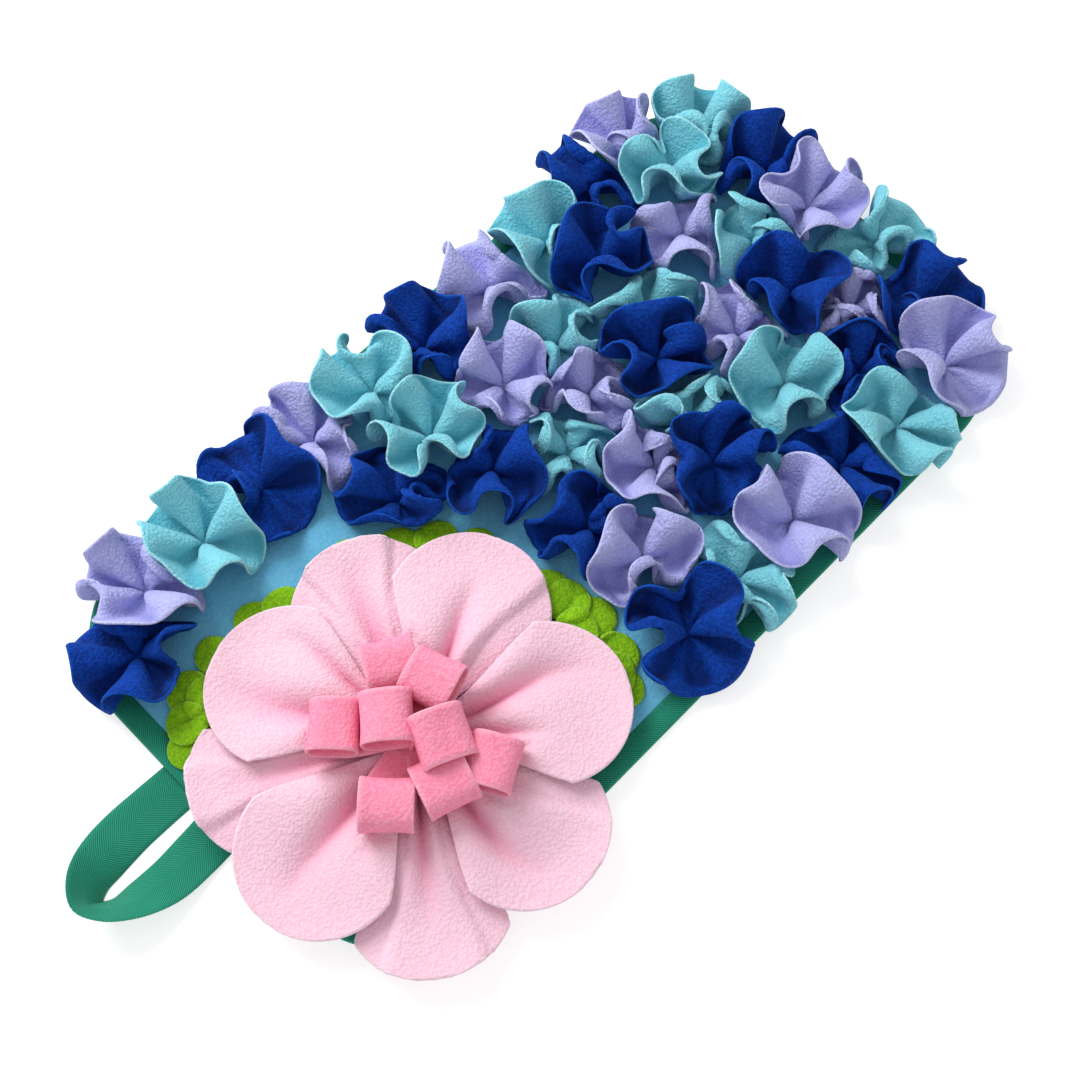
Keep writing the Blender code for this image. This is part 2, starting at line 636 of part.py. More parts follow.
# One row for each station of the hanging loop: the tape's middle in plan, and its bank, which
# lifts the outer edge where the tape turns back.
Station = namedtuple("Station", "x y bank")
LOOP_STATIONS = (
    Station(-27.5, -340.3, 0), Station(-28, -364, 3), Station(-27.5, -388, 10),
    Station(-23.5, -410, 28), Station(-16, -427, 52), Station(-4, -436, 66),
    Station(8, -427, 56), Station(14.5, -410, 34), Station(18, -388, 14),
    Station(17, -364, 4), Station(15, -340.3, 0),
)
LOOP_STEPS = 2


def smooth_run(rows, per_span):
    """Points on a smooth curve through the rows (Catmull-Rom), per_span to each span."""
    rows = np.array(rows, dtype=float)
    ends = np.vstack((2 * rows[0] - rows[1], rows, 2 * rows[-1] - rows[-2]))
    points = []
    for k in range(len(rows) - 1):
        a, b, c, d = ends[k:k + 4]
        for j in range(per_span):
            t = j / per_span
            points.append(0.5 * (2 * b + (c - a) * t + (2 * a - 5 * b + 4 * c - d) * t * t
                                 + (3 * b - a - 3 * c + d) * t ** 3))
    points.append(rows[-1])
    return np.array(points)


def make_hanging_loop():
    run = smooth_run(LOOP_STATIONS, LOOP_STEPS)
    way = np.gradient(run[:, :2], axis=0)
    way /= np.linalg.norm(way, axis=1)[:, None]
    way[[0, -1]] = (0.0, -1.0), (0.0, 1.0)
    mesh = bmesh.new()
    rings = []
    for (x, y, bank), (along_x, along_y) in zip(run, way):
        bank = math.radians(max(bank, 0.0))
        outer = np.array((along_y * math.cos(bank), -along_x * math.cos(bank), math.sin(bank)))
        up = np.array((-along_y * math.sin(bank), along_x * math.sin(bank), math.cos(bank)))
        lift = TAPE_WIDTH / 2.0 * math.sin(bank) + TAPE_THICK / 2.0 * math.cos(bank)
        middle = np.array((x, y, lift))
        ring = []
        for side, skin in ((-1, -1), (1, -1), (1, 1), (-1, 1)):
            corner = middle + outer * side * TAPE_WIDTH / 2.0 + up * skin * TAPE_THICK / 2.0
            ring.append(mesh.verts.new(corner * MM))
        rings.append(ring)
    for near, far in zip(rings, rings[1:]):
        for c in range(4):
            d = (c + 1) % 4
            mesh.faces.new((near[c], near[d], far[d], far[c]))
    mesh.faces.new(rings[0][::-1])
    mesh.faces.new(rings[-1])
    bmesh.ops.recalc_face_normals(mesh, faces=mesh.faces[:])
    thing = finish_object("hanging_loop", mesh)
    thing.data.set_sharp_from_angle(angle=math.radians(SHARP_ANGLE))
    thing.data.materials.append(MATERIALS["tape"])


def make_material(name, colour, roughness):
    material = bpy.data.materials.new(name)
    material.use_nodes = True
    shader = material.node_tree.nodes["Principled BSDF"]
    shader.inputs["Base Color"].default_value = (*colour, 1.0)
    shader.inputs["Roughness"].default_value = roughness
    shader.inputs["Metallic"].default_value = 0.0
    return material


for old in list(bpy.data.objects):
    bpy.data.objects.remove(old)

MATERIALS = {
    "navy": make_material("navy", (0.004, 0.04, 0.30), 0.95),
    "aqua": make_material("aqua", (0.13, 0.56, 0.66), 0.95),
    "lilac": make_material("lilac", (0.36, 0.34, 0.72), 0.95),
    "pale_pink": make_material("pale_pink", (0.90, 0.58, 0.70), 0.95),
    "leaf": make_material("leaf", (0.20, 0.44, 0.01), 0.95),
    "rose": make_material("rose", (0.95, 0.25, 0.42), 0.95),
    "sky": make_material("sky", (0.11, 0.39, 0.62), 0.95),
    "tape": make_material("tape", (0.004, 0.24, 0.13), 0.8),
}
make_ruffles()
make_petals()
make_leaves()
make_flower_centre()
make_mat()
make_hanging_loop()
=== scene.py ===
import math
from collections import namedtuple

import bmesh
import bpy
import numpy as np
from mathutils import Matrix, Vector


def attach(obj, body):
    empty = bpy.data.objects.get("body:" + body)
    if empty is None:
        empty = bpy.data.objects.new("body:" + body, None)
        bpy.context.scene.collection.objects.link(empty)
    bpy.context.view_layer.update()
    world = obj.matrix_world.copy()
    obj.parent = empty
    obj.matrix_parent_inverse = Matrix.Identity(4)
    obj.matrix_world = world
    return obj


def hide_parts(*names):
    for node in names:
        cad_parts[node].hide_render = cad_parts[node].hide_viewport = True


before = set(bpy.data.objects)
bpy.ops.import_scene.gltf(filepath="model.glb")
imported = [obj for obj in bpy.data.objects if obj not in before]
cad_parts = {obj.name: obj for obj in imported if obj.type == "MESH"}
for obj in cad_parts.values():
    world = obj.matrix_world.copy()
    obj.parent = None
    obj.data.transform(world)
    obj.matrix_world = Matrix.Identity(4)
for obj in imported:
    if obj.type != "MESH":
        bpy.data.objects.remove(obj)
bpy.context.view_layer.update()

mm = 0.001

# the camera stands where the photograph was taken from
shot = {
    "azimuth": 43.0084, "elevation": 68.5524, "distance": 1.1488, "roll": 1.7786,
    "target": (0.0205, -0.0363, 0.0), "focal": 1566.65, "imageSide": 1080.0, "sensor": 36.0,
}


def makeCamera():
    turn, rise, roll = (math.radians(shot[key]) for key in ("azimuth", "elevation", "roll"))
    back = Vector((
        math.sin(turn) * math.cos(rise), -math.cos(turn) * math.cos(rise), math.sin(rise)))
    level = Vector((math.cos(turn), math.sin(turn), 0.0))
    upright = back.cross(level)
    right = level * math.cos(roll) + upright * math.sin(roll)
    up = upright * math.cos(roll) - level * math.sin(roll)
    place = Vector(shot["target"]) + back * shot["distance"]
    data = bpy.data.cameras.new("camera")
    data.sensor_width = shot["sensor"]
    data.lens = shot["focal"] * shot["sensor"] / shot["imageSide"]
    data.clip_start = 0.01
    camera = bpy.data.objects.new("camera", data)
    camera.matrix_world = Matrix((
        (right.x, up.x, back.x, place.x), (right.y, up.y, back.y, place.y),
        (right.z, up.z, back.z, place.z), (0.0, 0.0, 0.0, 1.0)))
    bpy.context.scene.collection.objects.link(camera)
    bpy.context.scene.camera = camera


makeCamera()
print("camera placed")


def addNode(tree, kind, settings, values):
    # adds one node to a tree: its settings first, then the value or link of each socket
    made = tree.nodes.new(kind)
    for key, value in settings.items():
        setattr(made, key, value)
    for key, value in values.items():
        if isinstance(value, bpy.types.NodeSocket):
            tree.links.new(value, made.inputs[key])
        else:
            made.inputs[key].default_value = value
    return made


class Socket:
    # wraps one output socket, so that sums on it add their own Math nodes
    def __init__(self, finish, output):
        self.finish = finish
        self.output = output

    def sums(self, operation, first, second=0.0):
        return self.finish.node(
            "ShaderNodeMath", {"operation": operation}, {0: first, 1: second})

    def __add__(self, other):
        return self.sums("ADD", self, other)

    def __radd__(self, other):
        return self.sums("ADD", other, self)

    def __sub__(self, other):
        return self.sums("SUBTRACT", self, other)

    def __rsub__(self, other):
        return self.sums("SUBTRACT", other, self)

    def __mul__(self, other):
        return self.sums("MULTIPLY", self, other)

    def __rmul__(self, other):
        return self.sums("MULTIPLY", other, self)

    def __pow__(self, other):
        return self.sums("POWER", self, other)

    def __rpow__(self, other):
        return self.sums("POWER", other, self)

    def __abs__(self):
        return self.sums("ABSOLUTE", self)

    def sine(self):
        return self.sums("SINE", self)

    def clamped(self):
        return self.finish.node("ShaderNodeClamp", {}, {"Value": self})


class Finish:
    # one material: its Principled shader, and one way to add any other node
    def __init__(self, name, **fixed):
        self.material = bpy.data.materials.new(name)
        self.material.use_nodes = True
        self.tree = self.material.node_tree
        self.shader = self.tree.nodes["Principled BSDF"]
        for key, value in fixed.items():
            self.shader.inputs[key].default_value = value

    def node(self, kind, settings, values, output=0):
        plain = {key: value.output if isinstance(value, Socket) else value
                 for key, value in values.items()}
        return Socket(self, addNode(self.tree, kind, settings, plain).outputs[output])

    def place(self):
        return self.node("ShaderNodeTexCoord", {}, {}, "Object")

    def attribute(self, name):
        return self.node("ShaderNodeAttribute", {"attribute_name": name}, {}, "Fac")

    def noise(self, vector, scale, detail=2.0, roughness=0.5, distortion=0.0):
        return self.node("ShaderNodeTexNoise", {}, {
            "Vector": vector, "Scale": scale, "Detail": detail, "Roughness": roughness,
            "Distortion": distortion})

    def cells(self, vector, scale):
        return self.node("ShaderNodeTexVoronoi", {"feature": "F1"}, {
            "Vector": vector, "Scale": scale})

    def blend(self, share, first, second):
        return self.node(
            "ShaderNodeMix", {"data_type": "RGBA"}, {0: share, 6: first, 7: second}, 2)

    def link(self, value, socket):
        self.tree.links.new(value.output, self.shader.inputs[socket])

    def bump(self, height, depth, strength):
        return self.node("ShaderNodeBump", {}, {
            "Height": height, "Distance": depth, "Strength": strength}, "Normal")


def tone(red, green, blue):
    return (red, green, blue, 1.0)


# the nap of brushed fleece: soft crumbs two or three millimetres across, and finer fuzz over them
nap = {
    "crumb": 430.0, "worm": 300.0, "fuzz": 1500.0, "patch": 28.0, "depth": 0.0015,
    "crumbShare": 1.15, "wormShare": 1.1, "raisedShare": 0.85, "fuzzShare": 0.5,
    "patchShare": 0.5, "lift": 0.12, "fuzzHeight": 0.45, "hollow": 0.5, "rim": 0.75,
}


def makeFleece(name, foldShade, deep, base, pale, tint, strength, sheen):
    foldShade, deep, base, pale, tint = (tone(*colour) for colour in (foldShade, deep, base, pale, tint))
    fleece = Finish(name, **{
        "Roughness": 0.92, "Specular IOR Level": 0.18, "Sheen Weight": sheen,
        "Sheen Roughness": 0.45, "Sheen Tint": tint})
    place = fleece.place()
    crumb = fleece.cells(place, nap["crumb"])
    worm = fleece.noise(place, nap["worm"], 1.0, 0.5, 0.9)
    fuzz = fleece.noise(place, nap["fuzz"], 2.0, 0.6)
    patch = fleece.noise(place, nap["patch"], 2.0, 0.5)
    raised = (1.0 - crumb * nap["crumbShare"] + (worm - 0.5) * nap["wormShare"]).clamped()
    # painted shade between the crumbs, mixed with random tone from the fuzz and patches
    share = (raised * nap["raisedShare"] + (fuzz - 0.5) * nap["fuzzShare"]
             + (patch - 0.5) * nap["patchShare"] + nap["lift"])
    colour = fleece.blend(share.clamped(), deep, base)
    # painted shade: hollows and creases take the fold colour
    hollow = fleece.attribute("hollow")
    colour = fleece.blend((hollow * nap["hollow"]).clamped(), colour, foldShade)
    rim = fleece.attribute("rim")
    colour = fleece.blend((rim ** 2.0 * nap["rim"]).clamped(), colour, pale)
    fleece.link(colour, "Base Color")
    fleece.link(0.86 + fuzz * 0.12, "Roughness")
    fleece.link(
        fleece.bump(raised + fuzz * nap["fuzzHeight"], nap["depth"], strength), "Normal")
    return fleece.material


# herringbone twill: ribs that lean one way up to the tape's middle, and back beyond it
twill = {
    "pitch": 1.9, "lean": 1.05, "middle": 17.5, "thread": 0.62, "depth": 0.00035,
    "drift": 60.0, "fuzz": 1600.0, "patch": 25.0, "ribPower": 0.7,
    "deep": (0.002, 0.11, 0.07), "base": (0.005, 0.33, 0.20), "pale": (0.03, 0.46, 0.31),
    "sheen": (0.45, 0.9, 0.7),
}


def makeTwill():
    tape = Finish("tape", **{
        "Roughness": 0.6, "Specular IOR Level": 0.35, "Sheen Weight": 0.25,
        "Sheen Roughness": 0.35, "Sheen Tint": tone(*twill["sheen"])})
    along = tape.attribute("along")
    across = tape.attribute("across")
    place = tape.place()
    drift = (tape.noise(place, twill["drift"], 1.0) - 0.5) * 0.5
    folded = abs(across - twill["middle"])
    ribTurns = 2.0 * math.pi / twill["pitch"]
    yarnTurns = 2.0 * math.pi / twill["thread"]
    rib = ((along + folded * twill["lean"] + drift) * ribTurns).sine() * 0.5 + 0.5
    yarn = ((along * twill["lean"] - folded) * yarnTurns).sine() * 0.5 + 0.5
    fuzz = tape.noise(place, twill["fuzz"], 2.0, 0.6)
    raised = rib ** twill["ribPower"]
    patch = tape.noise(place, twill["patch"], 2.0)
    # painted shade in the grooves between the ribs, mixed with random tone from the fuzz
    share = (raised * 0.75 + yarn * 0.15 + fuzz * 0.2).clamped()
    colour = tape.blend(share, tone(*twill["deep"]), tone(*twill["base"]))
    # paler in patches on the raised ribs
    paleRibPatches = ((patch - 0.42) * 1.3 * raised).clamped()
    tape.link(tape.blend(paleRibPatches, colour, tone(*twill["pale"])), "Base Color")
    tape.link(0.72 - raised * 0.2 + fuzz * 0.1, "Roughness")
    height = raised + yarn * 0.18 * raised + fuzz * 0.15
    tape.link(tape.bump(height, twill["depth"], 0.9), "Normal")
    return tape.material


threadLook = {"colour": (0.012, 0.30, 0.17), "twist": 2600.0, "dark": 0.55}


def makeThread():
    thread = Finish("thread", **{"Roughness": 0.55, "Sheen Weight": 0.3})
    twist = thread.noise(thread.place(), threadLook["twist"], 1.0)
    colour = threadLook["colour"]
    dark = tone(*(part * threadLook["dark"] for part in colour))
    thread.link(thread.blend(twist, dark, tone(*colour)), "Base Color")
    thread.link(0.5 + twist * 0.2, "Roughness")
    return thread.material


# each fleece: its painted shade in the folds, its colour between the crumbs, which is partly
# painted shade, on the crumbs and at cut edges, the tint of its sheen, and how strong its nap
# and its sheen are
fleeces = {
    "navy": (
        (0.0004, 0.009, 0.09), (0.0006, 0.022, 0.19), (0.0014, 0.058, 0.42),
        (0.003, 0.085, 0.50), (0.01, 0.20, 0.75), 0.55, 0.14),
    "aqua": (
        (0.085, 0.40, 0.50), (0.16, 0.52, 0.62), (0.25, 0.66, 0.76),
        (0.42, 0.80, 0.86), (0.75, 0.97, 1.0), 0.65, 0.2),
    "lilac": (
        (0.24, 0.24, 0.58), (0.36, 0.37, 0.72), (0.48, 0.50, 0.84),
        (0.60, 0.62, 0.90), (0.85, 0.85, 1.0), 0.65, 0.2),
    "pale_pink": (
        (0.88, 0.33, 0.49), (0.87, 0.53, 0.66), (0.93, 0.65, 0.75),
        (0.95, 0.75, 0.83), (1.0, 0.92, 0.96), 0.38, 0.12),
    "rose": (
        (0.86, 0.07, 0.16), (0.90, 0.24, 0.38), (0.96, 0.36, 0.51),
        (0.98, 0.47, 0.60), (1.0, 0.75, 0.82), 0.4, 0.1),
    "leaf": (
        (0.06, 0.22, 0.002), (0.15, 0.38, 0.005), (0.30, 0.59, 0.014),
        (0.40, 0.68, 0.06), (0.7, 0.9, 0.35), 0.5, 0.12),
    "sky": (
        (0.075, 0.34, 0.57), (0.12, 0.43, 0.665), (0.165, 0.505, 0.74),
        (0.24, 0.60, 0.81), (0.6, 0.85, 1.0), 0.3, 0.2),
}
finishes = {name: makeFleece(name, *row) for name, row in fleeces.items()}
finishes["tape"] = makeTwill()
finishes["thread"] = makeThread()
print("finishes made")


def ease(share):
    share = np.clip(share, 0.0, 1.0)
    return share * share * (3.0 - 2.0 * share)


def keepNumbers(data, **values):
    # keeps a number for each point of a mesh, for its finish to read
    for key, numbers in values.items():
        data.attributes.new(key, "FLOAT", "POINT").data.foreach_set(
            "value", np.asarray(numbers, dtype=np.float32))


def addPiece(name, points, edges, faces, **values):
    # points are in millimetres
    data = bpy.data.meshes.new(name)
    data.from_pydata((np.asarray(points) * mm).tolist(), edges, faces)
    keepNumbers(data, **values)
    piece = bpy.data.objects.new(name, data)
    bpy.context.scene.collection.objects.link(piece)
    return piece


def finishPiece(name, points, faces, finish, **values):
    piece = addPiece(name, points, [], faces, **values)
    piece.data.shade_smooth()
    piece.data.materials.append(finishes[finish])
    return piece


def seat(piece, node):
    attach(piece, "root")
    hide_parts(node)


def gridQuads(rows, columns, closed):
    # the faces of a grid of points; a closed one joins its last column to its first
    index = np.arange(rows * columns).reshape(rows, columns)
    if closed:
        index = np.concatenate((index, index[:, :1]), axis=1)
    corners = (index[:-1, :-1], index[:-1, 1:], index[1:, 1:], index[1:, :-1])
    return np.stack([corner.ravel() for corner in corners], 1)


def evened(grid, closed):
    # moves each point halfway to the mean of its neighbours; a closed grid's last row runs round
    # its rim, and the borders of an open one stay
    smooth = grid.copy()
    if closed:
        beside = np.roll(grid, 1, axis=-2) + np.roll(grid, -1, axis=-2)
        smooth[..., 1:-1, :, :] = 0.5 * grid[..., 1:-1, :, :] + 0.125 * (
            grid[..., :-2, :, :] + grid[..., 2:, :, :] + beside[..., 1:-1, :, :])
        smooth[..., -1, :, :] = 0.5 * grid[..., -1, :, :] + 0.25 * beside[..., -1, :, :]
    else:
        smooth[1:-1, 1:-1] = 0.5 * grid[1:-1, 1:-1] + 0.125 * (
            grid[:-2, 1:-1] + grid[2:, 1:-1] + grid[1:-1, :-2] + grid[1:-1, 2:])
    return smooth


# every sheet: how pale its last row is, how far its cut edge bulges, as a share of half the
# thickness, and how widely it is evened to find its hollows, which get painted shade
sheetLook = {"pale": 0.8, "bulge": 0.75, "hollowRounds": 14}


def foldShadeDepth(middle, normal, closed):
    # how deep each point lies in a hollow, in millimetres: hollows get painted shade, a deeper
    # colour
    even = middle
    for _ in range(sheetLook["hollowRounds"]):
        even = evened(even, closed)
    return ((even - middle) * normal).sum(2)


def sheetMesh(name, middle, half, closed, finish, hollow=None):
    # a closed sheet about a grid of middle points: rows run from the stitch outwards, columns
    # across; a closed one starts at a single point and its columns go all the way round it
    rows, columns = middle.shape[:2]
    if closed:
        along = np.roll(middle, -1, axis=1) - np.roll(middle, 1, axis=1)
    else:
        along = np.gradient(middle, axis=1)
    normal = np.cross(np.gradient(middle, axis=0), along)
    normal /= np.maximum(np.linalg.norm(normal, axis=2, keepdims=True), 1e-9)
    if closed:
        normal[0] = (0.0, 0.0, 1.0)
    offset = normal * half[..., None]
    top, bottom = middle + offset, middle - offset
    # how deep each hollow lies, which sets its painted shade
    if hollow is None:
        hollow = foldShadeDepth(middle, normal, closed)
    rim = np.zeros((rows, columns))
    rim[-1] = sheetLook["pale"]
    if not closed:
        rim[0] = sheetLook["pale"]
        rim[:, [0, -1]] = sheetLook["pale"]
    first = 1 if closed else 0
    count = (rows - first) * columns
    rim, depth = rim[first:].reshape(-1), hollow[first:].reshape(-1)

    # the upper and lower faces
    upper = gridQuads(rows - first, columns, closed)[:, [0, 3, 2, 1]]
    faces = np.concatenate((upper, upper[:, ::-1] + count)).tolist()

    # the cut edge, rounded by one more row of points all round
    border = [(rows - 1, column) for column in range(columns)]
    if not closed:
        border += [(row, columns - 1) for row in range(rows - 2, -1, -1)]
        border += [(0, column) for column in range(columns - 2, -1, -1)]
        border += [(row, 0) for row in range(1, rows - 1)]
    edge = []
    for row, column in border:
        inRow = min(max(row, 1), rows - 2)
        inColumn = column if closed else min(max(column, 1), columns - 2)
        out = middle[row, column] - middle[inRow, inColumn]
        out -= normal[row, column] * (out @ normal[row, column])
        out /= max(np.linalg.norm(out), 1e-9)
        edge.append(middle[row, column] + out * half[row, column] * sheetLook["bulge"])
    start = 2 * count
    places = [(row - first) * columns + column for row, column in border]
    for k, a in enumerate(places):
        following = (k + 1) % len(places)
        b, edgeA, edgeB = places[following], start + k, start + following
        faces += [(a, edgeA, edgeB, b), (edgeA, a + count, b + count, edgeB)]
    points = [top[first:].reshape(-1, 3), bottom[first:].reshape(-1, 3), np.array(edge)]
    rims, hollows = [rim, rim, np.ones(len(edge))], [depth, -depth, np.zeros(len(edge))]

    # a closed sheet's two middle points
    if closed:
        pole = start + len(edge)
        points.append(np.array((top[0, 0], bottom[0, 0])))
        rims.append(np.zeros(2))
        hollows.append(np.array((hollow[0, 0], -hollow[0, 0])))
        for a in range(columns):
            b = (a + 1) % columns
            faces += [(pole, a, b), (pole + 1, b + count, a + count)]
    return finishPiece(
        name, np.concatenate(points), faces, finish, rim=np.concatenate(rims),
        hollow=np.concatenate(hollows))


def gridArea(middle):
    # the area of an open grid of points, in square metres
    near, beside = middle[:, :-1], middle[:, 1:]
    first = np.cross(near[1:] - near[:-1], beside[:-1] - near[:-1])
    second = np.cross(beside[1:] - near[1:], beside[1:] - beside[:-1])
    total = np.linalg.norm(first, axis=2).sum() + np.linalg.norm(second, axis=2).sum()
    return 0.5 * total * mm * mm


# sizes that several pieces share, in millimetres: clear is the room between two cloths, and
# wall is how high over the mat the surfaces between neighbours are set
mat = {"width": 370.0, "length": 680.0, "corner": 92.0, "thick": 4.8, "gap": 0.3}
cloth = {"thick": 2.4, "clear": 0.5, "wall": 13.0}
leafLayer = {"thick": 2.4, "step": 2.1}
clothGap = (cloth["thick"] + cloth["clear"]) / 2.0
clothRoom = cloth["thick"] + cloth["clear"]
floorLevel = mat["thick"] + mat["gap"] + cloth["thick"] / 2.0
wallHeight = mat["thick"] + cloth["wall"]
leafTop = mat["thick"] + mat["gap"] + 2.0 * leafLayer["step"] + leafLayer["thick"]

# the ways a disc is folded. Each fold: where it points, how steeply it leaves the stitch, and
# how steeply it ends, in degrees
forms = {
    "tri": (
        (0, 16, -12), (58, 50, 24), (118, 18, -8), (180, 52, 46), (240, 14, -8), (300, 50, 22)),
    "fan": (
        (-70, 14, -10), (-30, 38, -10), (8, 14, -12), (46, 40, -10),
        (86, 14, -10), (134, 54, 48), (186, 16, 0), (234, 54, 42)),
    "butterfly": (
        (-40, 30, -10), (0, 14, -12), (40, 32, -10), (90, 56, 44),
        (138, 30, -10), (180, 12, -12), (224, 34, -10), (270, 56, 48)),
    "cup": (
        (0, 22, 6), (50, 48, 36), (104, 22, 30), (152, 54, 66),
        (196, 26, 42), (238, 54, 68), (284, 22, 34), (326, 46, 32)),
    "rolled": (
        (-50, 14, -10), (12, 44, -4), (74, 16, 4), (136, 54, 66), (192, 18, 38), (250, 54, 62)),
    "trefoil": (
        (0, 16, -10), (44, 48, 4), (92, 14, -10), (140, 52, 46),
        (188, 16, -8), (232, 48, 6), (276, 16, -6), (322, 52, 48)),
    "pansy": (
        (-50, 14, -10), (-8, 40, -10), (36, 14, -12), (84, 48, 20),
        (124, 14, 4), (164, 54, 52), (212, 14, -4), (262, 52, 44)),
}

# the gathered discs, round fleece pieces sewn down at their middles: colour, place of the
# stitch, form, turn, hand (-1 mirrors the form), reach from stitch to rim, and rank (a higher
# rank lies over a lower)
Disc = namedtuple("Disc", "colour x y form turn hand reach rank")
discs = (
    Disc("lilac", -149, -266, "fan", 217, 1, 55, 3),
    Disc("navy", -115, -301, "pansy", 245, 1, 54, 2),
    Disc("aqua", -148, -212, "fan", 210, -1, 53, 4),
    Disc("navy", -151, -154, "butterfly", 178, 1, 55, 3),
    Disc("lilac", -152, -103, "fan", 180, 1, 53, 2),
    Disc("aqua", -151, -43, "fan", 188, -1, 52, 4),
    Disc("navy", -150, 10, "fan", 182, 1, 53, 3),
    Disc("lilac", -151, 81, "tri", 160, 1, 53, 2),
    Disc("aqua", -149, 141, "tri", 205, 1, 51, 3),
    Disc("aqua", -79, 83, "rolled", 275, 1, 50, 2),
    Disc("lilac", -84, 30, "trefoil", 235, 1, 53, 3),
    Disc("aqua", -92, -39, "pansy", 165, 1, 51, 5),
    Disc("navy", -72, -91, "trefoil", 65, 1, 53, 2),
    Disc("navy", -39, -26, "tri", 245, 1, 52, 3),
    Disc("aqua", -10, 24, "trefoil", 60, 1, 53, 2),
    Disc("lilac", -32, 68, "rolled", 145, 1, 51, 2),
    Disc("navy", -160, 202, "tri", 180, 1, 52, 2),
    Disc("lilac", -166, 250, "cup", 195, 1, 49, 3),
    Disc("aqua", -134, 300, "cup", 120, 1, 52, 3),
    Disc("aqua", -125, 254, "rolled", 165, 1, 50, 4),
    Disc("lilac", -77, 221, "tri", 135, 1, 53, 3),
    Disc("navy", -107, 159, "rolled", 195, 1, 52, 4),
    Disc("aqua", -51, 151, "pansy", 100, 1, 53, 3),
    Disc("navy", -18, 129, "trefoil", 115, 1, 54, 4),
    Disc("lilac", 12, 187, "trefoil", 65, -1, 53, 3),
    Disc("navy", -71, 312, "tri", 95, 1, 55, 3),
    Disc("lilac", -26, 313, "fan", 85, 1, 54, 4),
    Disc("aqua", -36, 258, "rolled", 245, 1, 53, 3),
    Disc("aqua", 34, 324, "butterfly", 75, 1, 52, 2),
    Disc("navy", 16, 243, "tri", 195, 1, 54, 4),
    Disc("lilac", 60, 262, "cup", 85, 1, 52, 2),
    Disc("navy", 97, 305, "butterfly", 30, 1, 55, 3),
    Disc("lilac", 141, 280, "butterfly", 168, 1, 55, 5),
    Disc("aqua", 148, 215, "fan", 357, 1, 55, 4),
    Disc("navy", 99, 229, "trefoil", 90, 1, 53, 3),
    Disc("aqua", 66, 181, "tri", 145, 1, 53, 4),
    Disc("navy", 139, 160, "fan", 7, 1, 55, 3),
    Disc("navy", 71, 95, "butterfly", 125, 1, 54, 4),
    Disc("lilac", 43, 62, "trefoil", 60, 1, 52, 3),
    Disc("aqua", 34, 109, "tri", 105, 1, 52, 3),
    Disc("navy", 42, -10, "tri", 245, 1, 53, 2),
    Disc("lilac", 88, 2, "tri", 150, -1, 52, 3),
    Disc("navy", 148, -16, "butterfly", 145, 1, 55, 4),
    Disc("aqua", 145, 39, "fan", 352, 1, 54, 2),
    Disc("lilac", 144, 102, "tri", 145, 1, 55, 4),
)

# the petals: where each points, its length from the flower's middle, and its rank
Petal = namedtuple("Petal", "bearing length rank")
petals = (
    Petal(155, 152, 1), Petal(113, 155, 2), Petal(58, 153, 3), Petal(6, 155, 2),
    Petal(-39, 164, 1), Petal(-82, 158, 3), Petal(-120, 158, 1), Petal(-156, 152, 2))
flower = {"x": 66.0, "y": -205.0, "petalCentre": 98.0, "petalRound": 58.0, "step": 2}

# the round lobes of the leaves: cluster, place, radius and layer, lowest first
Lobe = namedtuple("Lobe", "cluster x y radius layer")
leafLobes = (
    Lobe("left", -50, -250, 27, 0), Lobe("left", -76, -226, 17, 1), Lobe("left", -71, -204, 16, 2),
    Lobe("left", -79, -263, 15, 1), Lobe("left", -70, -293, 17, 1), Lobe("left", -56, -285, 18, 2),
    Lobe("left", -54, -309, 16, 2), Lobe("left", -40, -318, 17, 1), Lobe("left", -38, -285, 24, 0),
    Lobe("top", -40, -122, 25, 0), Lobe("top", -66, -148, 16, 1), Lobe("top", -30, -92, 17, 1),
    Lobe("top", -6, -88, 20, 2), Lobe("top", -8, -72, 13, 1),
    Lobe("right", 96, -84, 25, 0), Lobe("right", 54, -62, 17, 1), Lobe("right", 70, -58, 17, 2),
    Lobe("right", 92, -54, 17, 1), Lobe("right", 90, -70, 17, 2), Lobe("right", 122, -62, 17, 1),
    Lobe("right", 131, -75, 17, 2), Lobe("right", 143, -76, 15, 1),
)

Spot = namedtuple("Spot", "x y")
Wall = namedtuple("Wall", "point out")

# how far the wall between two neighbours leans, in degrees: more for each step in rank
wallLean = {"least": 14.0, "perRank": 12.0, "most": 46.0}


def distance(near, far):
    return math.hypot(far.x - near.x, far.y - near.y)


def leaningWall(near, far, share, rankStep, height):
    # the plane that keeps a piece clear of its neighbour; the higher rank reaches over the lower
    across = np.array((far.x - near.x, far.y - near.y), dtype=float)
    across /= np.linalg.norm(across)
    over = rankStep if rankStep else -across[0] - across[1]
    degrees = min(wallLean["least"] + wallLean["perRank"] * abs(rankStep), wallLean["most"])
    lean = math.copysign(math.radians(degrees), over)
    point = (near.x + (far.x - near.x) * share, near.y + (far.y - near.y) * share, height)
    out = (across[0] * math.cos(lean), across[1] * math.cos(lean), -math.sin(lean))
    return Wall(np.array(point), np.array(out))


def petalMiddle(petal):
    bearing = math.radians(petal.bearing)
    return Spot(flower["x"] + flower["petalCentre"] * math.cos(bearing),
                flower["y"] + flower["petalCentre"] * math.sin(bearing))


def discWalls(disc):
    walls = []
    for other in discs:
        if other is not disc and distance(disc, other) <= disc.reach + other.reach + clothRoom:
            share = disc.reach / (disc.reach + other.reach)
            walls.append(leaningWall(disc, other, share, disc.rank - other.rank, wallHeight))
    for middle in map(petalMiddle, petals):
        apart = distance(disc, middle)
        if apart <= disc.reach + flower["petalRound"] + clothRoom:
            share = (apart - flower["petalRound"]) / apart
            walls.append(leaningWall(disc, middle, share, -flower["step"], wallHeight))
    for lobe in leafLobes:
        apart = distance(disc, lobe)
        if apart <= disc.reach + lobe.radius + clothRoom:
            share = (apart - lobe.radius - cloth["clear"]) / apart
            walls.append(leaningWall(disc, lobe, share, flower["step"], leafTop))
    return walls


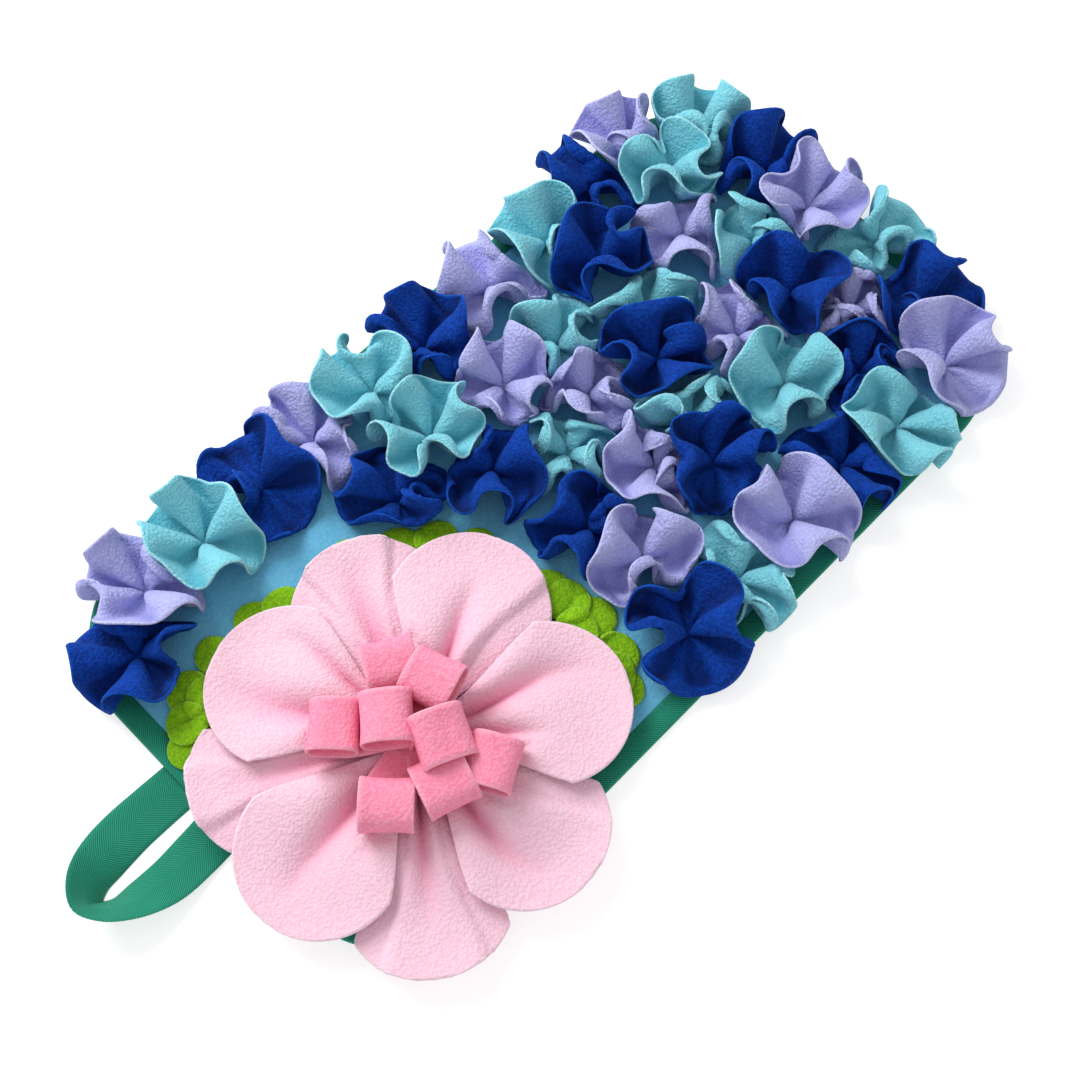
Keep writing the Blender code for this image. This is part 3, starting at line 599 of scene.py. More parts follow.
# how the cloth is gathered and relaxed: bunched is the cloth held in the pinch, and wide bends
# are how strongly the cloth resists folding over 2, 4 and 8 spokes
gather = {
    "spokes": 96, "rings": 16, "rounds": 140, "quickRounds": 40, "bunched": 6.5, "spread": 6.0,
    "weight": 0.02, "wideBends": ((2, 0.5), (4, 0.45), (8, 0.2)), "soft": 0.5, "hold": 46.0,
    "aroundStiff": 0.75, "shearStiff": 0.35, "bendStiff": 0.25, "smoothing": 3,
    "clampRounds": 12, "pinchRise": 45.0, "pinchSpread": 0.3, "steepest": 60.0, "roof": 38.0,
    "feel": 11.0, "pinchThick": 1.2, "thicken": 0.3, "rimThin": 0.72, "rimShare": 0.55,
    "rimDrop": 8.0, "rimPower": 1.2, "turnUp": 0.5, "slowest": 0.45, "lastStep": 0.3,
    "pleats": 8, "pleatDepth": 3.0, "pleatFrom": 5.0, "pleatAt": 9.0, "pleatWide": 11.0,
}


def startDisc(disc, walls):
    # walks every spoke outwards from the stitch, turning up or down along a wall it meets
    spokes, rings = gather["spokes"], gather["rings"]
    rows = np.radians(np.array(forms[disc.form], dtype=float))
    following = np.roll(rows, -1, axis=0)
    following[-1, 0] += 2.0 * math.pi
    perFold = spokes // len(rows)
    share = np.arange(perFold)[None, :, None] / perFold
    swing = rows[:, None, :1] + (following - rows)[:, None, :1] * share
    slopes = rows[:, None, 1:] + (following - rows)[:, None, 1:] * ease(share)
    run = np.concatenate((swing, slopes), axis=2).reshape(-1, 3)
    bearing = math.radians(disc.turn) + disc.hand * run[:, 0]
    if disc.hand < 0:
        bearing, run = bearing[::-1], run[::-1]
    lean, rim = run[:, 1], run[:, 2] * gather["rimShare"] - math.radians(gather["rimDrop"])
    points = np.zeros((rings + 1, spokes, 3))
    points[0] = (disc.x, disc.y, mat["thick"] + mat["gap"] + gather["pinchThick"] / 2.0)
    for k in range(rings):
        out = (k + 0.5) / rings
        rise = math.radians(gather["pinchRise"]) * math.exp(-out / gather["pinchSpread"])
        slope = np.minimum(
            lean + (rim - lean) * out ** gather["rimPower"] + rise,
            math.radians(gather["steepest"]))
        way = np.stack((
            np.cos(bearing) * np.cos(slope), np.sin(bearing) * np.cos(slope), np.sin(slope)), 1)
        for wall in walls:
            room = (wall.point - points[k]) @ wall.out - clothGap
            extra = np.maximum(way @ wall.out - room / gather["feel"], 0.0)
            way -= extra[:, None] * wall.out
            if wall.out[2] <= 0.0:
                way[:, 2] += gather["turnUp"] * extra
        room = np.maximum(points[k][:, 2] - floorLevel, 0.0)
        way[:, 2] = np.maximum(way[:, 2], -room / gather["feel"])
        way /= np.maximum(np.linalg.norm(way, axis=1), gather["slowest"])[:, None]
        points[k + 1] = points[k] + way * disc.reach / rings
    return points


Tie = namedtuple("Tie", "near far nearShare length stiff pushOnly")


def discTies(reach):
    # what holds the cloth together: sets of paired points, with the length between each pair
    spokes, rings = gather["spokes"], gather["rings"]
    every = np.arange(spokes)
    pitch = (reach / rings)[:, None, None]
    rest = reach[:, None] * np.linspace(0.0, 1.0, rings + 1)
    material = rest + gather["bunched"] * (1.0 - np.exp(-rest / gather["spread"]))
    ties = []

    def chord(wide):
        return (2.0 * math.sin(wide * math.pi / spokes) * material)[:, :, None]

    def tie(rows, columns, down, across, length, stiff, pushOnly=False):
        near = (slice(None), rows[:, None], columns)
        far = (slice(None), rows[:, None] + down, (columns + across) % spokes)
        nearShare = np.where(rows > 0, 0.5, 0.0)[:, None, None]  # the stitch itself stays put
        ties.append(Tie(near, far, nearShare, length, stiff, pushOnly))

    for odd in (0, 1):  # lengths along the spokes
        tie(np.arange(odd, rings, 2), every, 1, 0, pitch, 1.0)
    for odd in (0, 1):  # lengths round the rings
        tie(np.arange(1, rings + 1), np.arange(odd, spokes, 2), 0, 1, chord(1)[:, 1:],
            gather["aroundStiff"])
    slant = np.sqrt(pitch ** 2 + chord(1)[:, 1:] * chord(1)[:, :-1])
    for turn in (1, -1):  # the slanting lengths, which resist shear
        for start in (2, 1):
            rows = np.arange(start, rings, 2)
            tie(rows, every, 1, turn, slant[:, rows], gather["shearStiff"])
    for pair in ((0, 1), (2, 3)):  # bending along the spokes
        rows = np.array([n for n in range(rings - 1) if n % 4 in pair])
        tie(rows, every, 2, 0, 2.0 * pitch, gather["bendStiff"])
    for wide, stiff in gather["wideBends"]:  # bending round the rings
        for odd in (0, 1):
            columns = np.array([n for n in range(spokes) if (n // wide) % 2 == odd])
            tie(np.arange(3, rings + 1), columns, 0, wide, chord(wide)[:, 3:], stiff, True)
    return ties


def relaxDiscs():
    # all the discs at once: the cloth keeps its lengths, resists sharp bends, and stays in the
    # room that its neighbours leave it
    allWalls = [discWalls(disc) for disc in discs]
    points = np.array([startDisc(disc, walls) for disc, walls in zip(discs, allWalls)])
    most = max(len(walls) for walls in allWalls)
    place = np.full((len(discs), most, 3), (1e6, 0.0, 0.0))
    outs = np.full((len(discs), most, 3), (1.0, 0.0, 0.0))
    for n, walls in enumerate(allWalls):
        for k, wall in enumerate(walls):
            place[n, k], outs[n, k] = wall.point, wall.out

    def clamp(strength):
        for k in range(most):
            out = outs[:, k][:, None, None]
            over = ((points - place[:, k][:, None, None]) * out).sum(-1) + clothGap
            points[:, 1:] -= (np.maximum(over, 0.0) * strength)[:, 1:, :, None] * out

    ties = discTies(np.array([disc.reach for disc in discs], dtype=float))
    pins = points[:, 0].copy()
    centre = pins[:, :1, :2][:, None]
    for _ in range(gather["rounds"]):
        points[:, 1:, :, 2] -= gather["weight"]
        for tie in ties:
            apart = points[tie.far] - points[tie.near]
            size = np.sqrt((apart * apart).sum(-1)) + 1e-9
            error = size - tie.length
            if tie.pushOnly:
                error = np.minimum(error, 0.0)
            move = (tie.stiff * error / size)[..., None] * apart
            points[tie.near] += move * tie.nearShare
            points[tie.far] -= move * (1.0 - tie.nearShare)
        clamp(gather["soft"])
        flat = points[..., :2] - centre
        size = np.sqrt((flat * flat).sum(-1)) + 1e-9
        shrink = 1.0 - gather["soft"] * np.maximum(size - gather["hold"], 0.0) / size
        points[..., :2] = centre + flat * shrink[..., None]
        points[:, 1:, :, 2] = np.clip(points[:, 1:, :, 2], floorLevel, floorLevel + gather["roof"])
        points[:, 0] = pins
    for _ in range(gather["smoothing"]):
        points = evened(points, True)
    for _ in range(gather["clampRounds"]):
        clamp(1.0)
        points[:, 1:, :, 2] = np.maximum(points[:, 1:, :, 2], floorLevel)
    return points


def makeDiscs():
    rings, spokes = gather["rings"], gather["spokes"]
    steps = np.concatenate((np.arange(rings), (rings - gather["lastStep"], rings)))
    low = np.minimum(steps.astype(int), rings - 1)
    share = (steps - low)[:, None, None]
    half = np.minimum(gather["pinchThick"] + gather["thicken"] * steps, cloth["thick"]) / 2.0
    half[-1] *= gather["rimThin"]
    half = np.repeat(half[:, None], spokes, axis=1)
    turn = np.linspace(0.0, 2.0 * math.pi, spokes, endpoint=False)
    for number, (disc, grid) in enumerate(zip(discs, relaxDiscs()), 1):
        middle = grid[low] * (1.0 - share) + grid[low + 1] * share
        # small pleats where the cloth is drawn together
        out = disc.reach * steps / rings
        deep = gather["pleatDepth"] * ease(out / gather["pleatFrom"]) * np.exp(
            -((out - gather["pleatAt"]) / gather["pleatWide"]) ** 2)
        wave = np.abs(np.sin(gather["pleats"] * turn / 2.0 + 0.7 * np.sin(turn + number)))
        middle[..., 2] += deep[:, None] * wave[None, :]
        piece = sheetMesh(f"disc_{number:02d}_{disc.colour}", middle, half, True, disc.colour)
        seat(piece, f"ruffle_{number:02d}_{disc.colour}")
        cut = 2.0 * (disc.reach + gather["bunched"]) * mm
        math.pi * cut * cut / 4.0
    print("discs relaxed:", len(discs))


# petals: eight large round ones, pleated at the flower's middle
petal = {
    "rows": 68, "columns": 64, "rowPower": 0.9, "rowWave": 0.012, "even": 0.65,
    "rootReach": 10.0, "rootHalf": 3.0, "rootFrom": 8.0, "rootRun": 12.0, "sector": 0.414,
    "overlapRoot": 2.0, "overlapRim": 17.0, "overlapStart": 30.0, "overlapRun": 70.0,
    "cheekHigh": 30.0, "cheekLow": 19.0, "cheekFrom": 62.0, "cheekRun": 80.0, "cheekDrop": 5.0,
    "dropFrom": 0.55, "dropRun": 0.45, "rimLift": 4.5, "low": 8.0, "creaseFrom": 10.0,
    "creaseRun": 12.0, "creaseFull": 45.0, "creaseFade": 0.7, "shade": 1.7, "shadeDents": 16.0,
    "shadeRoot": 0.35, "shadeFrom": 28.0, "shadeRun": 50.0,
    "seamRoot": 20.0, "seamRim": 16.2, "seamRun": 100.0,
    "seamSwell": 5.0, "seamAt": 86.0, "seamWide": 26.0, "seamSteep": 1.1, "seamFlat": 0.10,
    "seamMore": 4.0, "tuck": 4.0, "roof": 25.3, "roofRoot": 46.0, "roofSlope": 0.9,
    "roofClear": 3.0, "crown": 33.0, "rounds": 9, "smoothing": 5, "spare": 0.6, "overLeaf": 3.3,
    "soften": 8.0,
}

# how each petal is gathered: its creases. Each has its place from side to side at the root and
# where it ends, its depth, its width at the root and how it widens, how far out it ends, and its
# power: near 1 for a sharp fold, near 2 for a soft hollow
Crease = namedtuple("Crease", "root tip depth width widen end power")
gatherings = (
    (Crease(0.05, 0.05, 19, 4, 0.075, 142, 1.5),),
    (Crease(0.02, 0.08, 19, 2, 0.060, 128, 1.15), Crease(-0.85, -0.72, 9, 4, 0.05, 108, 1.5)),
    (Crease(0.30, 0.40, 18, 3, 0.075, 138, 1.3), Crease(-0.50, -0.36, 13, 3, 0.04, 96, 1.3)),
    (Crease(-0.50, -0.36, 19, 3, 0.065, 138, 1.3), Crease(0.42, 0.32, 12, 3, 0.045, 104, 1.4)),
    (Crease(-0.06, 0.00, 19, 2.5, 0.060, 136, 1.25), Crease(0.60, 0.50, 15, 3, 0.045, 116, 1.3),
     Crease(-0.62, -0.52, 11, 3, 0.04, 100, 1.4)),
    (Crease(-0.04, -0.06, 19, 3.5, 0.075, 146, 1.4), Crease(0.55, 0.50, 11, 3, 0.04, 94, 1.4)),
    (Crease(0.00, 0.00, 17, 5, 0.08, 136, 1.6),),
    (Crease(0.26, 0.28, 18, 4, 0.085, 144, 1.5), Crease(-0.64, -0.58, 13, 2.5, 0.045, 118, 1.3)),
)


def petalOverlap(reach):
    return petal["overlapRoot"] + (petal["overlapRim"] - petal["overlapRoot"]) * ease(
        (reach - petal["overlapStart"]) / petal["overlapRun"])


def petalPlan(shape, share, v):
    # reach from the flower's middle, and the place sideways, of each point
    wide = flower["petalRound"]
    reach = petal["rootReach"] + share * (shape.length - 1.0 - petal["rootReach"])
    narrow = np.minimum(reach * petal["sector"] + petalOverlap(reach), wide)
    narrow = narrow - (narrow - petal["rootHalf"]) * (
        1.0 - ease((reach - petal["rootFrom"]) / petal["rootRun"]))
    past = np.maximum(reach - (shape.length - wide), 0.0)
    return reach, v * np.where(past > 0.0, np.sqrt(wide ** 2 - past ** 2), narrow)


def petalGrid(number):
    shape, wide = petals[number], flower["petalRound"]
    # the last rows crowd together, so that the round tip stays round
    share = np.linspace(0.0, 1.0, petal["rows"]) ** petal["rowPower"]
    share = share + petal["rowWave"] * np.sin(share * math.pi) * share
    level = np.linspace(-1.0, 1.0, petal["columns"] + 1)
    across = (1.0 - petal["even"]) * np.sin(level * math.pi / 2.0) + petal["even"] * level
    u, v = np.meshgrid(np.clip(share, 0.0, 1.0), across, indexing="ij")
    reach, side = petalPlan(shape, u, v)
    # rounded cheeks at the root, which sink into a shallow dish with a lifted rim
    fall = ease((reach - petal["cheekFrom"]) / petal["cheekRun"])
    height = petal["cheekHigh"] - (petal["cheekHigh"] - petal["cheekLow"]) * fall
    beyond = np.clip((np.abs(v) - petal["dropFrom"]) / petal["dropRun"], 0.0, 1.0)
    height = height - petal["cheekDrop"] * beyond ** 2 * (1.0 - fall)
    out = np.hypot(np.maximum(reach - (shape.length - wide), 0.0), side) / wide
    height = height + petal["rimLift"] * np.clip(out, 0.0, 1.0) ** 3 * ease(u / 0.5)
    half = np.maximum(np.abs(side).max(1, keepdims=True), 1.0)
    dents = np.zeros_like(height)
    for crease in gatherings[number]:
        line = (crease.root + (crease.tip - crease.root) * ease(reach / crease.end)) * half
        width = crease.width + crease.widen * reach
        dent = np.exp(-(np.abs(side - line) / width) ** crease.power)
        fade = ease((crease.end - reach) / (crease.end - petal["creaseFull"]))
        begin = ease((reach - petal["creaseFrom"]) / petal["creaseRun"])
        dents = dents + crease.depth * dent * fade ** petal["creaseFade"] * begin
    height = np.maximum(height - dents, petal["low"])
    bearing = math.radians(shape.bearing)
    x = flower["x"] + reach * math.cos(bearing) - side * math.sin(bearing)
    y = flower["y"] + reach * math.sin(bearing) + side * math.cos(bearing)
    # the creases and the root get painted shade, a deeper colour
    root = 1.0 - ease((reach - petal["shadeFrom"]) / petal["shadeRun"])
    shade = np.clip(dents / petal["shadeDents"] + petal["shadeRoot"] * root, 0.0, 1.0)
    return np.stack((x, y, height), 2), shade * petal["shade"]


def petalFloor(middle):
    # the leaves lift a petal; elsewhere it may lie on the mat
    low = mat["thick"] + mat["gap"] + cloth["thick"]
    heights, covers = leafHeights(middle[..., 0], middle[..., 1], leafOrder)
    over = [cover * (height + petal["overLeaf"]) for height, cover in zip(heights, covers)]
    return np.maximum(low, np.max(over, axis=0))


def petalRoof(middle):
    # the petals stay under the loops of the flower's middle, and may rise beside them
    east, north = middle[..., 0] - flower["x"], middle[..., 1] - flower["y"]
    apart = np.maximum(np.hypot(east, north) - petal["roofRoot"], 0.0)
    for loop in centreLoops:
        way = math.radians(loop.way)
        x, y = east - loop.x, north - loop.y
        along = np.abs(x * math.cos(way) + y * math.sin(way)) - loop.halfOut
        beside = np.abs(y * math.cos(way) - x * math.sin(way)) - strip["width"] / 2.0
        apart = np.minimum(apart, np.hypot(
            np.maximum(along - petal["roofClear"], 0.0),
            np.maximum(beside - petal["roofClear"], 0.0)))
    return np.minimum(petal["roof"] + petal["roofSlope"] * apart, petal["crown"])


def softly(past, soft):
    # how far to pull back what reaches past a line, beginning gently before it
    return np.where(past > soft, past, np.maximum(past + soft, 0.0) ** 2 / (4.0 * soft))


def seamBeside(number, step):
    # the neighbour that many petals on, and the seam's directions: outwards, and towards it
    shape, other = petals[number], petals[(number + step) % len(petals)]
    turn = (other.bearing - shape.bearing + 180.0) % 360.0 - 180.0
    between = math.radians(shape.bearing + turn / 2.0)
    ahead = np.array((math.cos(between), math.sin(between)))
    return other, ahead, np.array((-ahead[1], ahead[0])) * math.copysign(1.0, turn)


def clearSeams(number, middle, spare):
    # between neighbours a surface runs out from the flower's middle: the higher rank lies over it
    # and the lower under it, pulled in a little where it would reach past
    gap = clothGap + spare
    root = np.array((flower["x"], flower["y"]))
    for step in (-1, 1):
        other, ahead, towards = seamBeside(number, step)
        flat = middle[..., :2] - root
        reach, past = flat @ ahead, flat @ towards
        upper = petals[number].rank > other.rank
        if not upper:
            back = softly(past - petal["tuck"], petal["soften"])
            middle[..., :2] -= back[..., None] * towards
            past = past - back
        seam = petal["seamRoot"] + (petal["seamRim"] - petal["seamRoot"]) * ease(
            reach / petal["seamRun"])
        seam = seam + petal["seamSwell"] * np.exp(
            -((reach - petal["seamAt"]) / petal["seamWide"]) ** 2)
        # the surface is steep but for a flat band, as wide as the upper petal reaches over
        inner = past if upper else -past
        flatPart = np.clip(inner, 0.0, petalOverlap(reach) + petal["seamMore"])
        surface = seam + petal["seamFlat"] * flatPart + petal["seamSteep"] * (inner - flatPart)
        steep = np.abs(inner - flatPart) > 0.0
        room = gap * np.sqrt(1.0 + np.where(steep, petal["seamSteep"], petal["seamFlat"]) ** 2)
        if upper:
            middle[..., 2] = np.maximum(middle[..., 2], surface + room)
        else:
            middle[..., 2] = np.minimum(middle[..., 2], surface - room)
    for step in (-2, 2):
        towards = seamBeside(number, step)[2]
        back = softly((middle[..., :2] - root) @ towards + gap, petal["soften"])
        middle[..., :2] -= back[..., None] * towards
    return middle


def makePetals():
    wide = flower["petalRound"]
    for number, shape in enumerate(petals):
        middle, shade = petalGrid(number)
        cut = gridArea(middle)
        near = petalMiddle(shape)
        walls = [
            leaningWall(near, disc, wide / distance(near, disc), flower["step"], wallHeight)
            for disc in discs if distance(near, disc) < disc.reach + wide + clothRoom]
        for turn in range(petal["rounds"]):
            smoothing = turn < petal["smoothing"]
            middle = clearSeams(number, middle, petal["spare"] if smoothing else 0.0)
            for wall in walls:
                over = np.maximum((middle - wall.point) @ wall.out + clothGap, 0.0)
                middle = middle - over[..., None] * wall.out
            middle[..., 2] = np.clip(middle[..., 2], petalFloor(middle), petalRoof(middle))
            if smoothing:
                middle = evened(middle, False)
        half = np.full(middle.shape[:2], cloth["thick"] / 2.0)
        piece = sheetMesh(f"petalCloth_{number + 1}", middle, half, False, "pale_pink", shade)
        seat(piece, f"petal_{number + 1}")
        length = (shape.length - petal["rootReach"]) * mm
        2.0 * wide * mm
        min(cut, 1.9 * wide * mm * length)
    print("petals laid:", len(petals))


# leaves: round lobes of green fleece, laid one over another
leaf = {
    "rings": 9, "sides": 44, "dome": 1.6, "rest": 2.5, "edge": 3.0, "wave": 0.03, "ripple": 0.4,
    "rimThin": 0.7,
}
leafOrder = sorted(leafLobes, key=lambda lobe: lobe.layer)


def leafHeights(x, y, lobes):
    # the height of each lobe's middle surface, and how far it covers each point: each lobe lies
    # over those laid before it
    ground = mat["thick"] + mat["gap"] + leafLayer["thick"] / 2.0
    heights, covers = [], []
    for lobe in lobes:
        apart = np.hypot(x - lobe.x, y - lobe.y)
        height = ground + leaf["dome"] * np.clip(1.0 - (apart / lobe.radius) ** 3, 0.0, 1.0)
        for under, cover in zip(heights, covers):
            height = np.maximum(height, ground + cover * (under + leaf["rest"] - ground))
        heights.append(height)
        covers.append(ease((lobe.radius + leaf["edge"] - apart) / leaf["edge"]))
    return heights, covers


def makeLeaves():
    angle = np.linspace(0.0, 2.0 * math.pi, leaf["sides"], endpoint=False)
    share = np.linspace(0.0, 1.0, leaf["rings"] + 1)[:, None]
    half = np.full((leaf["rings"] + 1, leaf["sides"]), leafLayer["thick"] / 2.0)
    half[-1] *= leaf["rimThin"]
    for number, lobe in enumerate(leafOrder):
        reach = (lobe.radius - 1.0) * (1.0 + leaf["wave"] * np.sin(3.0 * angle + number)) * share
        x, y = lobe.x + reach * np.cos(angle), lobe.y + reach * np.sin(angle)
        height = leafHeights(x, y, leafOrder[:number + 1])[0][-1]
        height = height + leaf["ripple"] * share * (1.0 + np.sin(2.0 * angle + 2.0 * number))
        middle = np.stack((x, y, height), 2)
        piece = sheetMesh(f"leafLobe_{number + 1:02d}", middle, half, True, "leaf")
        seat(piece, f"leaves_{lobe.cluster}")
        cut = 2.0 * lobe.radius * mm
        math.pi * cut * cut / 4.0
    print("leaf lobes laid:", len(leafLobes))


# the flower's middle: eight strips folded into loops, over a gathered knot
strip = {
    "width": 36.0, "thick": 2.2, "steps": 84, "columns": 10, "square": 2.7, "start": 222.0,
    "rootWide": 0.6, "rootSplit": 1.5, "rootHigh": 28.5, "ringSteps": 120, "rootSteps": 12,
    "rounds": 6, "opening": 8.0, "flare": 0.9, "ripple": 0.35, "rippleTurn": 0.16,
    "lowest": 28.2,
}

# each loop: the place of its middle from the knot, its height, the way its strip runs, its half
# length and half height, its tilt along the strip, and its roll across it, in degrees
Loop = namedtuple("Loop", "x y up way halfOut halfUp tilt roll")
centreLoops = (
    Loop(-43, 20, 40, 152, 16, 11, 6, 2),
    Loop(-14, 32, 43, 107, 17, 12, 10, -6),
    Loop(-38, -37, 40, 224, 16, 11, 2, 4),
    Loop(-15, -9, 48, 230, 17, 12, -2, 4),
    Loop(21, 8, 48, 66, 18, 12, -6, 10),
    Loop(55, 21, 39, 30, 16, 10, -6, -2),
    Loop(42, -11, 40, -18, 18, 11, 0, 3),
    Loop(26, -48, 40, -46, 17, 11, 2, -3),
)


def lengthsAlong(path):
    # how far along a path each of its points lies
    return np.concatenate(([0.0], np.cumsum(np.linalg.norm(np.diff(path, axis=0), axis=1))))


def loopPath(loop):
    # the strip's middle line: from the knot, round under the loop, over it, and back to the knot
    angle = np.radians(strip["start"] + np.linspace(0.0, 1.0, strip["ringSteps"] + 1) * 360.0)
    tilt, way = math.radians(loop.tilt), math.radians(loop.way)
    power = 2.0 / strip["square"]
    along = loop.halfOut * np.sign(np.cos(angle)) * np.abs(np.cos(angle)) ** power
    above = loop.halfUp * np.sign(np.sin(angle)) * np.abs(np.sin(angle)) ** power
    out = along * math.cos(tilt) - above * math.sin(tilt)
    up = loop.up + along * math.sin(tilt) + above * math.cos(tilt)
    ring = np.stack((loop.x + out * math.cos(way), loop.y + out * math.sin(way), up), 1)
    low = np.array((0.0, 0.0, strip["rootHigh"] - strip["rootSplit"]))
    high = np.array((0.0, 0.0, strip["rootHigh"] + strip["rootSplit"]))
    share = np.linspace(0.0, 1.0, strip["rootSteps"] + 1)[:-1, None]
    inward = low + (ring[0] - low) * share
    outward = high + (ring[-1] - high) * share
    path = np.concatenate((inward, ring, outward[::-1]))
    for _ in range(strip["rounds"]):
        path[1:-1] = 0.5 * path[1:-1] + 0.25 * (path[:-2] + path[2:])
    run = lengthsAlong(path)
    even = np.linspace(0.0, run[-1], strip["steps"] + 1)
    return np.stack([np.interp(even, run, path[:, k]) for k in range(3)], 1), even


def makeCentre():
    across = np.linspace(-1.0, 1.0, strip["columns"] + 1)[None, :]
    for number, loop in enumerate(centreLoops, 1):
        path, run = loopPath(loop)
        way, roll = math.radians(loop.way), math.radians(loop.roll)
        opening = max(math.hypot(loop.x, loop.y) - 0.5 * loop.halfOut, strip["opening"])
        held = ease(np.minimum(run, run[-1] - run) / opening)[:, None]
        side = strip["width"] / 2.0 * (
            strip["rootWide"] + (1.0 - strip["rootWide"]) * held) * across
        beside = np.array((
            -math.sin(way) * math.cos(roll), math.cos(way) * math.cos(roll), math.sin(roll)))
        ahead = np.gradient(path, axis=0)
        ahead /= np.linalg.norm(ahead, axis=1)[:, None]
        outward = np.cross(ahead, beside)
        # the cut edges flare a little, and the cloth isn't quite even
        flare = strip["flare"] * np.abs(across) ** 3 * held
        uneven = strip["ripple"] * np.sin(
            run[:, None] * strip["rippleTurn"] + 2.1 * number + 1.3 * across) * held
        middle = path[:, None, :] + side[..., None] * beside - outward[:, None, :] * (
            flare + uneven)[..., None]
        middle += (flower["x"], flower["y"], 0.0)
        middle[..., 2] = np.maximum(middle[..., 2], strip["lowest"])
        half = np.full(middle.shape[:2], strip["thick"] / 2.0)
        piece = sheetMesh(f"centreLoop_{number}", middle, half, False, "rose")
        seat(piece, "flower_centre")
    print("centre loops folded:", len(centreLoops))


knot = {
    "radius": 14.0, "low": 5.3, "high": 37.0, "rows": 18, "sides": 48, "pleats": 9,
    "pleatDepth": 0.10,
}


def makeKnot():
    # a gathered bud of fleece that all the strips are sewn to
    rows, sides = knot["rows"], knot["sides"]
    share = np.linspace(0.0, 1.0, rows)[:, None]
    angle = np.linspace(0.0, 2.0 * math.pi, sides, endpoint=False)[None, :]
    swell = np.sqrt(np.clip(1.0 - np.abs(2.0 * share - 1.0) ** 3.0, 0.0, 1.0))
    pleat = 1.0 + knot["pleatDepth"] * np.sin(knot["pleats"] * angle + 2.0 * share)
    reach = knot["radius"] * np.maximum(swell, 0.02) * pleat
    height = knot["low"] + (knot["high"] - knot["low"]) * share
    grid = np.stack((
        flower["x"] + reach * np.cos(angle), flower["y"] + reach * np.sin(angle),
        np.broadcast_to(height, reach.shape)), 2)
    ends = [(flower["x"], flower["y"], knot[key]) for key in ("low", "high")]
    faces = gridQuads(rows, sides, True).tolist()
    foot, tip, lastRow = rows * sides, rows * sides + 1, (rows - 1) * sides
    for a in range(sides):
        b = (a + 1) % sides
        faces += [(foot, b, a), (tip, lastRow + a, lastRow + b)]
    piece = finishPiece("knot", np.concatenate((grid.reshape(-1, 3), ends)), faces, "rose")
    seat(piece, "flower_centre")
    print("knot gathered")


# the padded base, drawn in a little at each stitch
base = {
    "inset": 15.5, "rings": 60, "dimple": 1.5, "dimpleWide": 15.0, "dimplePower": 1.6,
    "crown": 0.25, "edgeDrop": 0.5, "edgeWide": 9.0, "sideSteps": (36, 96), "cornerSteps": 24,
    "under": 0.02,
}


def roundedOutline(inset, sideSteps, cornerSteps):
    # a corner-rounded oblong, anticlockwise, drawn in from the mat's outer edge
    radius = max(mat["corner"] - inset, 1.0)
    half = np.array((mat["width"], mat["length"])) / 2.0 - inset - radius
    middles = half * np.array(((1, 1), (-1, 1), (-1, -1), (1, -1)))
    points = []
    for quarter in range(4):
        angles = [math.pi / 2.0 * (quarter + k / cornerSteps) for k in range(cornerSteps + 1)]
        ways = [radius * np.array((math.cos(angle), math.sin(angle))) for angle in angles]
        points += [middles[quarter] + way for way in ways[:-1]]
        begin, end = middles[quarter] + ways[-1], middles[(quarter + 1) % 4] + ways[-1]
        steps = sideSteps[quarter % 2]
        points += [begin + (end - begin) * k / steps for k in range(steps)]
    return np.array(points)


def makeBase():
    outline = roundedOutline(base["inset"], base["sideSteps"], base["cornerSteps"])
    count = len(outline)
    halfX, halfY = mat["width"] / 2.0 - base["inset"], mat["length"] / 2.0 - base["inset"]
    # the rings shrink to the mat's long middle line, so that the faces stay even
    spine = np.zeros_like(outline)
    spine[:, 1] = np.clip(outline[:, 1], -(halfY - halfX), halfY - halfX)
    shares = np.linspace(1.0, 0.0, base["rings"] + 1)
    flat = np.array([spine + (outline - spine) * share for share in shares])
    depth = np.zeros(flat.shape[:2])
    for stitch in discs + (Spot(flower["x"], flower["y"]),):
        apart = np.hypot(flat[..., 0] - stitch.x, flat[..., 1] - stitch.y)
        hollow = np.exp(-(apart / base["dimpleWide"]) ** base["dimplePower"])
        depth = np.maximum(depth, base["dimple"] * hollow)
    inward = np.minimum(halfX - np.abs(flat[..., 0]), halfY - np.abs(flat[..., 1]))
    drop = base["edgeDrop"] * np.exp(-np.maximum(inward, 0.0) / base["edgeWide"])
    top = mat["thick"] + base["crown"] - depth - drop
    upper, lower = (np.concatenate((flat, high[..., None]), 2).reshape(-1, 3)
                    for high in (top, np.full(top.shape, base["under"])))
    size = len(upper)
    quads = gridQuads(len(flat), count, True)
    faces = np.concatenate((quads, quads[:, ::-1] + size)).tolist()
    for a in range(count):
        b = (a + 1) % count
        faces.append((a + size, b + size, b, a))
    piece = finishPiece("padded_base", np.concatenate((upper, lower)), faces, "sky")
    # the last ring lies folded on the middle line: merge it
    mesh = bmesh.new()
    mesh.from_mesh(piece.data)
    bmesh.ops.remove_doubles(mesh, verts=mesh.verts[:], dist=0.02 * mm)
    bmesh.ops.dissolve_degenerate(mesh, edges=mesh.edges[:], dist=0.01 * mm)
    bmesh.ops.recalc_face_normals(mesh, faces=mesh.faces[:])
    mesh.to_mesh(piece.data)
    mesh.free()
    piece.data.shade_smooth()
    seat(piece, "base_pad")
    print("base padded")


